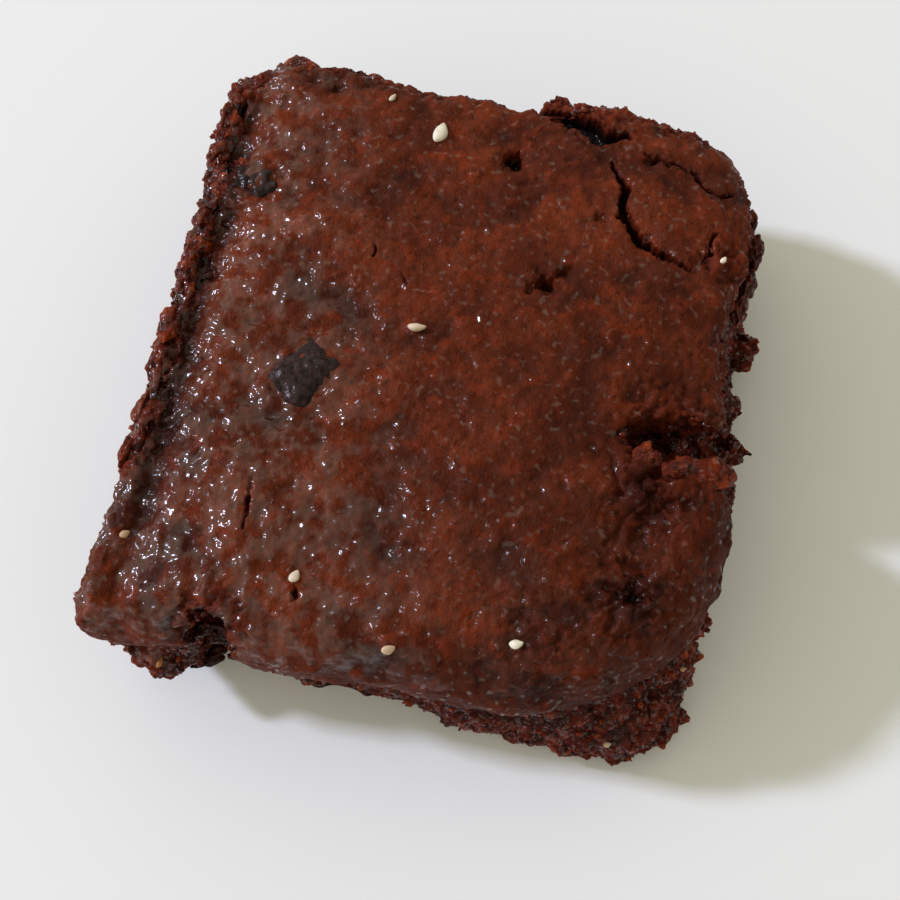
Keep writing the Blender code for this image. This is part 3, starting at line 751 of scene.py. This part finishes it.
def grow(piece, tree, sizes):
    """Run a tree on a piece with its sizes, and keep the result as a plain mesh."""
    modifier = piece.modifiers.new(tree.name, "NODES")
    modifier.node_group = tree
    for item in tree.interface.items_tree:
        if item.name in sizes:
            modifier[item.identifier] = sizes[item.name]
    piece.data = evaluated_mesh(piece)


def finish_tree(tree, geometry, material):
    """End a tree with real geometry and its material."""
    real = add_node(tree, REALIZE, {0: geometry})
    painted = add_node(tree, "GeometryNodeSetMaterial", {"Geometry": real, "Material": material})
    add_node(tree, "NodeGroupOutput", {0: painted})


def wandering(add, place, scale, detail, reach):
    """Return an offset by noise that reaches so far to each side of a place."""
    wander = add(NOISE, {"Vector": place, "Scale": scale, "Detail": detail}).outputs["Color"]
    wander = add(VECTOR_MATH, {0: wander, 1: (0.5, 0.5, 0.5)}, operation="SUBTRACT")
    return add(VECTOR_MATH, {0: wander, "Scale": reach}, operation="SCALE")


Layer = namedtuple("Layer", "part lumps share bottom top low high texture creased",
                   defaults=(0.0, 1.0, NOISE, False))

# What the relief is summed from: where it acts, whose size and height it takes, its share of that
# size, and how far it sinks and rises where its texture goes from low to high.
RELIEF = (
    Layer("crust", "Lump", 1.0, -1.2, 1.2),
    Layer("crust", "Lump", 2.4, -1.2, 1.2),
    Layer("crust", "Grain", 1.0, -1.2, 1.2),
    Layer("wrinkles", "Lump", 1.3, -1.2, 0.35, high=0.1, creased=True),
    Layer("torn", "Crumb", 0.9, -1.1, 1.1),
    Layer("torn", "Crumb", 0.8, -0.6, 0.15, high=0.1, creased=True),
    Layer("crumb", "Crumb", 1.0, 0.22, -0.85, 0.15, 0.8, CELLS),
    Layer("crumb", "Crumb", 0.42, 0.14, -0.42, 0.15, 0.8, CELLS),
    Layer("crumb", "Crumb", 0.7, -0.65, 0.65),
    Layer("crumb", "Crumb", 2.2, -0.5, 0.5),
    Layer("crumb", "Crumb", 0.25, -0.2, 0.2),
)
RELIEF_SIZES = tuple(lumps + kind for lumps in ("Lump", "Grain", "Crumb") for kind in (" size", " height"))
LEAST_WRINKLES = 0.22


def relief_sums(tree, group, place):
    """Add up the layers of relief for each part of the surface."""
    add = partial(add_node, tree)
    sums = {"crust": 0.0, "wrinkles": 0.0, "torn": 0.0, "crumb": 0.0}
    for layer in RELIEF:
        scale = add(MATH, {0: 1 / layer.share, 1: group[layer.lumps + " size"]}, operation="DIVIDE")
        rounded = {"feature": "SMOOTH_F1"} if layer.texture == CELLS else {}
        value = add(layer.texture, {"Vector": place, "Scale": scale}, **rounded)
        if layer.creased:
            value = add(MATH, {0: value, 1: 0.5}, operation="SUBTRACT")
            value = add(MATH, {0: value}, operation="ABSOLUTE")
        ranged = add(MAP_RANGE, {"Value": value, "From Min": layer.low, "From Max": layer.high,
                                 "To Min": layer.bottom, "To Max": layer.top})
        height = group[layer.lumps + " height"]
        sums[layer.part] = add(MATH, {0: ranged, 1: height, 2: sums[layer.part]},
                               operation="MULTIPLY_ADD")
    return sums


def relief_tree(material):
    """Build the nodes that raise lumps and grain on the crust and crumbs on the sides."""
    tree, group = new_tree("Brownie relief", RELIEF_SIZES)
    add = partial(add_node, tree)
    place = add(POSITION)
    crumb, cut, broken, skin = (
        add(NAMED_ATTRIBUTE, {"Name": name}) for name in ("crumb", "cut", "broken", "skin"))
    sums = relief_sums(tree, group, place)
    wrinkled = add(MATH, {0: broken, 1: LEAST_WRINKLES}, operation="MAXIMUM")
    crust = add(MATH, {0: wrinkled, 1: sums["wrinkles"], 2: sums["crust"]}, operation="MULTIPLY_ADD")
    crust = add(MATH, {0: broken, 1: sums["torn"], 2: crust}, operation="MULTIPLY_ADD")
    relief = add(MIX, {"Factor": crumb, 2: crust, 3: sums["crumb"]})
    height = add("ShaderNodeSeparateXYZ", {0: place}).outputs["Z"]
    free = add(MAP_RANGE, {"Value": height, "From Min": 0.1 * MM, "From Max": 1.6 * MM})
    free = add(MATH, {0: free, 1: skin}, operation="MULTIPLY")
    raised = add(MATH, {0: relief, 1: free}, operation="MULTIPLY")
    raised = add(VECTOR_MATH, {0: add("GeometryNodeInputNormal"), "Scale": raised}, operation="SCALE")
    scale = add(MATH, {0: 1 / 0.45, 1: group["Crumb size"]}, operation="DIVIDE")
    reach = add(MATH, {0: crumb, 1: free}, operation="MULTIPLY")
    half_height = add(MATH, {0: group["Crumb height"], 1: 0.55}, operation="MULTIPLY")
    reach = add(MATH, {0: reach, 1: half_height}, operation="MULTIPLY")
    wander = wandering(add, place, scale, 1.0, reach)
    sunk = add(MATH, {0: cut, 1: -1.0}, operation="MULTIPLY")
    sunk = add("ShaderNodeCombineXYZ", {"Z": sunk})
    offset = add(VECTOR_MATH, {0: raised, 1: sunk})
    offset = add(VECTOR_MATH, {0: offset, 1: wander})
    noted = add(STORE_ATTRIBUTE, {"Geometry": group["Geometry"], "Name": "relief", "Value": relief})
    moved = add(SET_POSITION, {"Geometry": noted, "Offset": offset})
    finish_tree(tree, moved, material)
    return tree


def new_material(name):
    """Make a node material and return it with its shader."""
    material = bpy.data.materials.new(name)
    material.use_nodes = True
    return material, material.node_tree.nodes["Principled BSDF"]


Speckle = namedtuple("Speckle", "name width detail")

# Noise that the crust's material is coloured with, by its width in millimetres.
SPECKLES = (
    Speckle("clouds", 9.0, 3.0),
    Speckle("patches", 4.2, 3.0),
    Speckle("blotches", 2.3, 3.0),
    Speckle("stains", 1.5, 2.0),
    Speckle("specks", 0.7, 3.0),
    Speckle("grains", 1.1, 2.0),
    Speckle("pores", 0.35, 3.0),
    Speckle("pebbles", 1.0, 2.0),
    Speckle("sheen", 1.7, 3.0),
    Speckle("pools", 2.6, 2.0),
    Speckle("swells", 2.4, 0.0),
    Speckle("ripples", 0.95, 0.0),
    Speckle("drops", 0.8, 0.0),
    Speckle("glints", 0.6, 1.0),
)

# Where the oily film lies: the noise that it follows, and the values from which it shows and is whole.
FILM = (("pools", 0.43, 0.57), ("glints", 0.55, 0.63), ("drops", 0.65, 0.79))

Tint = namedtuple("Tint", "source low high most colour")


def surface_sources(tree, attributes, speckles):
    """Return what a material is coloured by: attributes of the mesh and noise fixed to it."""
    add = partial(add_node, tree)
    place = add(COORDINATES).outputs["Object"]
    sources = {name: add(ATTRIBUTE, attribute_name=name).outputs["Fac"] for name in attributes}
    for name, width, detail in speckles:
        sources[name] = add(NOISE, {"Vector": place, "Scale": 1 / (width * MM), "Detail": detail})
    return sources


def lay_tints(tree, sources, colour, *tints):
    """Lay tints over a colour, each where its source lies between two values."""
    add = partial(add_node, tree)
    for tint in tints:
        share = add(MAP_RANGE, {"Value": sources[tint.source], "From Min": tint.low,
                                "From Max": tint.high, "To Max": tint.most})
        over = (*tint.colour, 1.0)
        colour = add(MIX, {"Factor": share, 6: colour, 7: over}, data_type="RGBA").outputs[2]
    return colour


def chocolate_crust(looks):
    """Moist baked chocolate crust and crumb.

    Flour, cocoa and sugar bake to a matte brown skin with a thin oily film, so the eye sees a
    velvety brown with darker specks, small wet sparkles where the film pools, and a redder,
    darker and more broken crumb where the skin has torn.
    """
    material, shader = new_material(CRUST_MATERIAL)
    tree = material.node_tree
    add = partial(add_node, tree)
    marks = ("crumb", "gloss", "gap", "shade", "relief", "broken", "painted_shading")
    sources = surface_sources(tree, marks, SPECKLES)
    skin = lay_tints(
        tree, sources, (*looks.crust_dark, 1.0),
        Tint("clouds", 0.38, 0.62, 1.0, looks.crust_light),
        Tint("patches", 0.48, 0.62, 0.55, looks.crust_olive),
        Tint("blotches", 0.53, 0.68, 0.5, looks.crust_red),
        Tint("specks", 0.47, 0.28, 0.6, looks.speck_and_shade),
        Tint("stains", 0.48, 0.32, 0.55, looks.crust_dark),
        # Painted shade: the crust's hollows are darkened towards the speck colour.
        Tint("relief", -0.05 * MM, -0.45 * MM, 0.7, looks.speck_and_shade),
        Tint("broken", 0.3, 1.0, 0.5, looks.crumb_colour))
    # Painted shading: the crust is made paler towards the far side and darker at the near right.
    skin = add(VECTOR_MATH, {0: skin, "Scale": sources["painted_shading"]}, operation="SCALE")
    grains = lay_tints(
        tree, sources, (*looks.crumb_dark_and_shade, 1.0),
        Tint("grains", 0.28, 0.52, 1.0, looks.crumb_colour),
        # Painted light and shade: raised crumb is made lighter and redder, as where light shines through
        # thin tips, and sunken crumb is darkened.
        Tint("relief", 0.06 * MM, 0.55 * MM, 0.8, looks.crumb_tip_glow),
        Tint("relief", -0.1 * MM, -0.6 * MM, 0.75, looks.crumb_dark_and_shade))
    colour = add(MIX, {"Factor": sources["crumb"], 6: skin, 7: grains}, data_type="RGBA").outputs[2]
    # Painted shade: inside the cracks and pits, by their distance from the edge, the colour is painted
    # almost black.
    ragged = add(MAP_RANGE, {"Value": sources["specks"], "To Min": -0.15, "To Max": 0.15})
    sources["edge"] = add(MATH, {0: sources["gap"], 1: ragged})
    colour = lay_tints(
        tree, sources, colour,
        # Painted shade: where the shade mark lies, the colour is darkened towards near black.
        Tint("shade", 0.0, 1.0, 0.85, linear(DEEP_SHADE)),
        Tint("edge", 0.05, -0.35, 1.0, linear(CRACK_SHADE)))
    tree.links.new(colour, shader.inputs["Base Color"])

    rough = add(MAP_RANGE, {"Value": sources["sheen"], "From Min": 0.3, "From Max": 0.7,
                            "To Min": 0.45, "To Max": 0.65})
    rough = add(MATH, {0: sources["gloss"], 1: -0.16, 2: rough}, operation="MULTIPLY_ADD")
    tree.links.new(rough.outputs[0], shader.inputs["Roughness"])
    shader.inputs["Specular IOR Level"].default_value = 0.06
    pools, glints, drops = (
        add(MAP_RANGE, {"Value": sources[name], "From Min": low, "From Max": high})
        for name, low, high in FILM)
    wet = add(MAP_RANGE, {"Value": sources["gloss"], "From Min": 0.1, "From Max": 0.9, "To Min": 0.05})
    film = add(MATH, {0: pools, 1: wet}, operation="MULTIPLY")
    glints = add(MATH, {0: glints, 1: sources["crumb"]}, operation="MULTIPLY")
    film = add(MATH, {0: film, 1: glints}, operation="MAXIMUM")
    film = add(MATH, {0: film, 1: drops}, operation="MAXIMUM")
    # Less oily film where the painted shade lies.
    lit = add(MAP_RANGE, {"Value": sources["shade"], "To Min": 1.0, "To Max": 0.25})
    film = add(MATH, {0: film, 1: lit}, operation="MULTIPLY")
    tree.links.new(film.outputs[0], shader.inputs["Coat Weight"])
    shader.inputs["Coat Roughness"].default_value = 0.19
    shader.inputs["Coat IOR"].default_value = 1.53

    fine = add(BUMP, {"Strength": 1.0, "Distance": 0.16 * MM, "Height": sources["pores"]})
    coarse = add(BUMP, {"Strength": 0.8, "Distance": 0.22 * MM, "Height": sources["pebbles"],
                        "Normal": fine})
    tree.links.new(coarse.outputs[0], shader.inputs["Normal"])
    swells = add(BUMP, {"Strength": 1.0, "Distance": 0.45 * MM, "Height": sources["swells"]})
    ripples = add(BUMP, {"Strength": 1.0, "Distance": 0.5 * MM, "Height": sources["ripples"],
                         "Normal": swells})
    tree.links.new(ripples.outputs[0], shader.inputs["Coat Normal"])
    return material


def finish_piece(piece, slot, *nodes):
    """Give a piece smooth faces and its body, and hide the nodes that it stands for. The slot is not used.
    """
    piece.data.polygons.foreach_set("use_smooth", [True] * len(piece.data.polygons))
    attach(piece, "root")
    if nodes:
        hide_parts(*nodes)


class BROWNIE_OT_body(bpy.types.Operator):
    """Build the crust lid and the crumb body from the brownie's solid"""

    bl_idname = "brownie.body"
    bl_label = "Crust and crumb"

    def execute(self, context):
        looks = context.scene.brownie_looks
        shell = even_shell()
        crust_faces, crumb_faces, depth = shell_parts(shell)
        lid = lid_shell(crust_faces)
        body = body_shell(crumb_faces, depth)
        shell.free()
        skin = lid.verts.layers.float["skin"]
        refined(lid, lambda v: v.co.z > FINE_LID_LEVEL * MM and v[skin] > 0.5)
        refined(lid, near_opening(lid))
        refined(body, lambda v: v.co.z > FINE_BODY_LEVEL * MM)
        mark_surface(lid, False)
        mark_surface(body, True)
        tree = relief_tree(chocolate_crust(looks))
        sizes = {name: getattr(looks, name.lower().replace(" ", "_")) for name in RELIEF_SIZES}
        for name, data in (("crust_lid", lid), ("crumb_body", body)):
            piece = link_piece(name, to_mesh(data, name))
            grow(piece, tree, sizes)
            finish_piece(piece, "baked_chocolate_crust", "brownie")
        return {"FINISHED"}


def crumbs_tree(name, faces_level, seed, material):
    """Build the nodes that scatter crumbs over crumbly places and keep only the crumbs."""
    tree, group = new_tree(name, ("Spacing", "Size", "Density"))
    add = partial(add_node, tree)
    crumbly = add(NAMED_ATTRIBUTE, {"Name": "crumbly"})
    points = add("GeometryNodeDistributePointsOnFaces",
                 {"Mesh": group["Geometry"], "Distance Min": group["Spacing"],
                  "Density Max": group["Density"], "Density Factor": crumbly, "Seed": seed},
                 distribute_method="POISSON")
    # A random relief for each loose crumb, which sets how much painted tip glow or painted hollow shade it
    # takes.
    shade = add(RANDOM, {"Min": -0.3 * MM, "Max": 0.55 * MM, "Seed": seed + 3}).outputs["Value"]
    noted = points
    for attribute, value in (("relief", shade), ("crumb", 1.0)):
        noted = add(STORE_ATTRIBUTE, {"Geometry": noted, "Name": attribute, "Value": value})
    ball = add("GeometryNodeMeshIcoSphere", {"Radius": 1.0, "Subdivisions": faces_level})
    turns = {"Min": (0.0, 0.0, 0.0), "Max": (2 * pi, 2 * pi, 2 * pi), "Seed": seed + 1}
    shapes = {"Min": (0.35, 0.35, 0.35), "Max": (1.0, 1.0, 1.0), "Seed": seed + 2}
    random_turn = add(RANDOM, turns, data_type="FLOAT_VECTOR")
    random_shape = add(RANDOM, shapes, data_type="FLOAT_VECTOR")
    size = add(VECTOR_MATH, {0: random_shape, "Scale": group["Size"]}, operation="SCALE")
    placed = add("GeometryNodeInstanceOnPoints",
                 {"Points": noted, "Instance": ball, "Rotation": random_turn, "Scale": size})
    real = add(REALIZE, {0: placed})
    place = add(POSITION)
    scale = add(MATH, {0: 1.1, 1: group["Size"]}, operation="DIVIDE")
    reach = add(MATH, {0: group["Size"], 1: 1.9}, operation="MULTIPLY")
    wander = wandering(add, place, scale, 2.0, reach)
    moved = add(SET_POSITION, {"Geometry": real, "Offset": wander})
    finish_tree(tree, moved, material)
    return tree


class BROWNIE_OT_crumbs(bpy.types.Operator):
    """Scatter loose crumbs over the sides and torn edges"""

    bl_idname = "brownie.crumbs"
    bl_label = "Loose crumbs"

    def execute(self, context):
        crumbs = context.scene.brownie_crumbs
        material = bpy.data.materials[CRUST_MATERIAL]
        surface = bmesh.new()
        surface.from_mesh(bpy.data.objects["crust_lid"].data)
        surface.from_mesh(bpy.data.objects["crumb_body"].data)
        bare = [f for f in surface.faces
                if f.calc_center_median().z < BARE_LEVEL * MM or len(f.verts) > MOST_CORNERS]
        bmesh.ops.delete(surface, geom=bare, context="FACES")
        mesh = to_mesh(surface, "crumbly_surface")
        kinds = (
            ("coarse_crumbs", 2, crumbs.coarse_spacing, crumbs.coarse_size, COARSE_DENSITY),
            ("fine_crumbs", 1, crumbs.fine_spacing, crumbs.fine_size, FINE_DENSITY),
        )
        for name, level, spacing, size, per_square_millimetre in kinds:
            piece = link_piece(name, mesh.copy())
            tree = crumbs_tree(name, level, crumbs.seed, material)
            density = per_square_millimetre / MM ** 2
            grow(piece, tree, {"Spacing": spacing, "Size": size, "Density": density})
            finish_piece(piece, "baked_chocolate_crust")
        return {"FINISHED"}


def chunks_mesh():
    """Model every chunk as a knobbly lump of crumb, partly sunk in the surface."""
    data = bmesh.new()
    names = ("crumb", "relief", "gap", "painted_shading", "gloss", "shade")
    layers = {name: data.verts.layers.float.new(name) for name in names}
    for chunk in CHUNKS:
        if chunk.z is None:
            place, _ = surface_place(chunk.x, chunk.y)
            place.z -= CHUNK_SINK * chunk.half_z * MM
        else:
            place = to_part(chunk.x, chunk.y, chunk.z)
        half = (chunk.half_x, chunk.half_y, chunk.half_z)
        lump = bmesh.ops.create_icosphere(data, subdivisions=5, radius=1.0)["verts"]
        for vertex in lump:
            spot = vertex.co * 1.2 + Vector((chunk.x, chunk.y, 0.0))
            swell = sum(share * noise.noise(spot * rate) for rate, share in CHUNK_SWELLS)
            vertex.co *= 1.0 + swell
            # The chunk's darkness goes into the painted shade mark, and its swell into the relief that
            # paints glow on its tips.
            marks = (1.0, (0.1 + 0.9 * swell) * MM, NO_OPENING, 1.0, CHUNK_GLOSS, chunk.dark)
            for name, value in zip(names, marks):
                vertex[layers[name]] = value
        bmesh.ops.transform(data, matrix=ball_matrix(place, half, chunk.turn), verts=lump)
    return to_mesh(data, "crumb_chunks")


class BROWNIE_OT_chunks(bpy.types.Operator):
    """Set the larger chunks of crumb that stand out of the surface"""

    bl_idname = "brownie.chunks"
    bl_label = "Crumb chunks"

    def execute(self, context):
        piece = link_piece("crumb_chunks", chunks_mesh())
        piece.data.materials.append(bpy.data.materials[CRUST_MATERIAL])
        finish_piece(piece, "baked_chocolate_crust")
        return {"FINISHED"}


def raisin_skin():
    """Dried raisin skin.

    Dark sugar-rich skin dried into folds, so it is almost black with a dull bloom on its ridges.
    """
    material, shader = new_material("wrinkled_raisin_skin")
    tree = material.node_tree
    sources = surface_sources(tree, (), (Speckle("bloom", 0.9, 3.0),))
    colour = lay_tints(tree, sources, (*linear(RAISIN_SKIN), 1.0),
                       Tint("bloom", 0.4, 0.68, 1.0, linear(RAISIN_BLOOM)))
    tree.links.new(colour, shader.inputs["Base Color"])
    shader.inputs["Roughness"].default_value = 0.24
    shader.inputs["Specular IOR Level"].default_value = 0.2
    wrinkle = add_node(tree, BUMP, {"Strength": 1.0, "Distance": 0.32 * MM, "Height": sources["bloom"]})
    tree.links.new(wrinkle.outputs[0], shader.inputs["Normal"])
    return material


def raisin_mesh(name):
    """Model a raisin's lobes with shallow ribs across them, soft folds and fine wrinkles."""
    data = bmesh.new()
    for lobe in LOBES:
        if lobe.raisin != name:
            continue
        ball = bmesh.ops.create_icosphere(data, subdivisions=6, radius=1.0)["verts"]
        for vertex in ball:
            co = vertex.co.copy()
            bend = RIB_BEND * noise.noise(co * 1.6)
            rib = cos(lobe.ribs * pi * (co.x + bend)) * (1.0 - abs(co.x))
            fold = FOLD_HEIGHT * noise.noise(co * 2.0 + Vector((lobe.turn, 0, 0)))
            vertex.co *= 1.0 + RIB_HEIGHT * (rib - 0.6) + fold + WRINKLE_HEIGHT * noise.noise(co * 5.0)
        place = ball_matrix(to_part(*lobe.middle), lobe.half, lobe.turn)
        bmesh.ops.transform(data, matrix=place, verts=ball)
    return to_mesh(data, name + "_skin")


class BROWNIE_OT_raisins(bpy.types.Operator):
    """Model the two raisins that show"""

    bl_idname = "brownie.raisins"
    bl_label = "Raisins"

    def execute(self, context):
        skin = raisin_skin()
        for raisin in RAISINS:
            piece = link_piece(raisin.name + "_skin", raisin_mesh(raisin.name))
            piece.data.materials.append(skin)
            finish_piece(piece, "dried_raisin_skin", raisin.name)
        return {"FINISHED"}


def sesame_hull():
    """Hulled sesame seed.

    A pale, slightly translucent oily seed, ivory when raw and tan where it toasted.
    """
    material, shader = new_material("hulled_sesame_seed")
    tree = material.node_tree
    sources = surface_sources(tree, ("toasted",), (Speckle("stain", 0.7, 2.0),))
    colour = lay_tints(tree, sources, (*linear(SEED_RAW), 1.0),
                       Tint("toasted", 0.0, 1.0, 1.0, linear(SEED_TOASTED)),
                       Tint("stain", 0.5, 0.7, 0.4, linear(SEED_STAIN)))
    tree.links.new(colour, shader.inputs["Base Color"])
    shader.inputs["Roughness"].default_value = 0.45
    return material


def surface_place(x, y):
    """Return a point of the brownie's upper surface and its normal at a place of the drawing."""
    start = to_part(x, y, 60.0)
    for name in ("crust_lid", "crumb_body"):
        hit, place, normal, _ = bpy.data.objects[name].ray_cast(start, Vector((0, 0, -1)))
        if hit:
            return place, normal
    raise ValueError("no crust under a piece at %.1f, %.1f" % (x, y))


def ringed_ball(data):
    """Add a ball of unit width with its poles along X."""
    tips = [data.verts.new((side * 0.5, 0, 0)) for side in (1, -1)]
    around = [2 * pi * k / SEED_SEGMENTS for k in range(SEED_SEGMENTS)]
    rings = []
    for step in range(1, SEED_RINGS):
        along = 0.5 * cos(pi * step / SEED_RINGS)
        wide = 0.5 * sin(pi * step / SEED_RINGS)
        rings.append([data.verts.new((along, wide * cos(a), wide * sin(a))) for a in around])
    for k in range(SEED_SEGMENTS):
        after = (k + 1) % SEED_SEGMENTS
        data.faces.new((tips[0], rings[0][k], rings[0][after]))
        for ring, further in zip(rings, rings[1:]):
            data.faces.new((ring[k], further[k], further[after], ring[after]))
        data.faces.new((tips[1], rings[-1][after], rings[-1][k]))


def seeds_mesh():
    """Model every sesame seed as a pointed, flattened drop, partly sunk in the surface."""
    joined = bmesh.new()
    joined.verts.layers.float.new("toasted")
    for seed in SEEDS:
        data = bmesh.new()
        layer = data.verts.layers.float.new("toasted")
        ringed_ball(data)
        for vertex in data.verts:
            narrow = 1.0 - SEED_TIP * smooth_step(-0.1, 0.5, vertex.co.x)
            vertex.co.y *= seed.width / seed.length * narrow
            vertex.co.z *= SEED_THICKNESS * narrow
            vertex.co.y += SEED_BOW * (vertex.co.x * 2) ** 2
            rough = noise.noise(vertex.co * 5.0 + Vector((seed.x, 0, 0)))
            vertex.co *= 1.0 + SEED_UNEVENNESS * rough
            vertex[layer] = seed.toasted
        size = seed.length * MM
        bmesh.ops.scale(data, vec=Vector((size, size, size)), verts=data.verts)
        bmesh.ops.rotate(data, matrix=Matrix.Rotation(radians(seed.turn), 3, "Z"), verts=data.verts)
        place, normal = surface_place(seed.x, seed.y)
        up = Vector((0, 0, 1))
        lean = up.rotation_difference(normal.lerp(up, SEED_LEVELLING)).to_matrix()
        bmesh.ops.rotate(data, matrix=lean, verts=data.verts)
        bmesh.ops.translate(data, vec=place + up * SEED_RAISE * size, verts=data.verts)
        part = to_mesh(data, "seed")
        joined.from_mesh(part)
        bpy.data.meshes.remove(part)
    return to_mesh(joined, "sesame_seeds")


class BROWNIE_OT_seeds(bpy.types.Operator):
    """Lay the sesame seeds on the crust"""

    bl_idname = "brownie.seeds"
    bl_label = "Sesame seeds"

    def execute(self, context):
        piece = link_piece("sesame_seeds", seeds_mesh())
        piece.data.materials.append(sesame_hull())
        finish_piece(piece, "baked_chocolate_crust")
        return {"FINISHED"}


def floor_material():
    """Matt white paper board, pale and even."""
    material, shader = new_material("matt_white_board")
    shader.inputs["Base Color"].default_value = (*linear(BOARD_WHITE), 1.0)
    shader.inputs["Roughness"].default_value = 0.9
    shader.inputs["Specular IOR Level"].default_value = 0.1
    return material


def soft_world():
    """Fill the room with soft warm light that is brighter at the left."""
    world = bpy.data.worlds.new("soft room")
    world.use_nodes = True
    bpy.context.scene.world = world
    tree = world.node_tree
    add = partial(add_node, tree)
    direction = add(COORDINATES).outputs["Generated"]
    side = add(VECTOR_MATH, {0: direction, 1: BRIGHT_SIDE}, operation="DOT_PRODUCT")
    share = add(MAP_RANGE, {"Value": side.outputs["Value"], "From Min": -1.0, "From Max": 1.0})
    colour = add(MIX, {"Factor": share, 6: DIM_AIR, 7: BRIGHT_AIR}, data_type="RGBA").outputs[2]
    tree.links.new(colour, tree.nodes["Background"].inputs["Color"])


def window_light():
    """Hang a cool window light far out at the left, a little towards the far side."""
    lamp = bpy.data.lights.new("window", "AREA")
    lamp.shape = "RECTANGLE"
    lamp.size, lamp.size_y = WINDOW_SIZE
    lamp.energy = WINDOW_WATTS
    lamp.color = WINDOW_COLOUR
    light = bpy.data.objects.new("window", lamp)
    bpy.context.scene.collection.objects.link(light)
    rise = radians(WINDOW_RISE_DEGREES)
    turn = radians(WINDOW_TURN_DEGREES)
    direction = Vector((-cos(rise) * cos(turn), cos(rise) * sin(turn), sin(rise)))
    light.location = direction * WINDOW_DISTANCE
    light.rotation_euler = direction.to_track_quat("Z", "Y").to_euler()


def photo_camera():
    """Stand the camera where the photograph was taken."""
    camera = bpy.data.cameras.new("photo")
    camera.sensor_width = 36.0
    camera.angle = radians(CAMERA_FIELD_DEGREES)
    camera.clip_start = 0.01
    camera.clip_end = 20.0
    holder = bpy.data.objects.new("photo", camera)
    bpy.context.scene.collection.objects.link(holder)
    place = Vector(CAMERA_PLACE) * MM
    aim = Vector(CAMERA_AIM) * MM
    holder.location = place
    holder.rotation_mode = "QUATERNION"
    holder.rotation_quaternion = (aim - place).to_track_quat("-Z", "Y")
    bpy.context.scene.camera = holder


class BROWNIE_OT_stage(bpy.types.Operator):
    """Set the pale floor, the soft light and the photograph's camera"""

    bl_idname = "brownie.stage"
    bl_label = "Floor, light and camera"

    def execute(self, context):
        data = bmesh.new()
        bmesh.ops.create_grid(data, x_segments=1, y_segments=1, size=2.0)
        floor = link_piece("floor", to_mesh(data, "floor"))
        floor.data.materials.append(floor_material())
        soft_world()
        window_light()
        photo_camera()
        context.scene.view_settings.view_transform = "Standard"
        return {"FINISHED"}


class BROWNIE_PT_panel(bpy.types.Panel):
    """Lists the brownie's pieces and its sizes and colours"""

    bl_idname = "BROWNIE_PT_panel"
    bl_label = "Vegan brownie"
    bl_space_type = "VIEW_3D"
    bl_region_type = "UI"
    bl_category = "Brownie"

    def draw(self, context):
        for group in (context.scene.brownie_looks, context.scene.brownie_crumbs):
            for name in group.__annotations__:
                self.layout.prop(group, name)
        for operator in OPERATORS:
            self.layout.operator(operator.bl_idname)


OPERATORS = (
    BROWNIE_OT_body,
    BROWNIE_OT_crumbs,
    BROWNIE_OT_chunks,
    BROWNIE_OT_raisins,
    BROWNIE_OT_seeds,
    BROWNIE_OT_stage,
)
CLASSES = (BrownieLooks, LooseCrumbs, *OPERATORS, BROWNIE_PT_panel)


def register():
    """Register the classes and their settings."""
    for kind in CLASSES:
        bpy.utils.register_class(kind)
    bpy.types.Scene.brownie_looks = bpy.props.PointerProperty(type=BrownieLooks)
    bpy.types.Scene.brownie_crumbs = bpy.props.PointerProperty(type=LooseCrumbs)


def unregister():
    """Take the classes and their settings out again."""
    del bpy.types.Scene.brownie_crumbs
    del bpy.types.Scene.brownie_looks
    for kind in reversed(CLASSES):
        bpy.utils.unregister_class(kind)


def main():
    """Register the add-on and build every piece."""
    register()
    noise.seed_set(NOISE_SEED)
    bpy.ops.brownie.body()
    bpy.ops.brownie.crumbs()
    bpy.ops.brownie.chunks()
    bpy.ops.brownie.raisins()
    bpy.ops.brownie.seeds()
    bpy.ops.brownie.stage()
    bpy.context.view_layer.update()


if __name__ == "__main__":
    main()
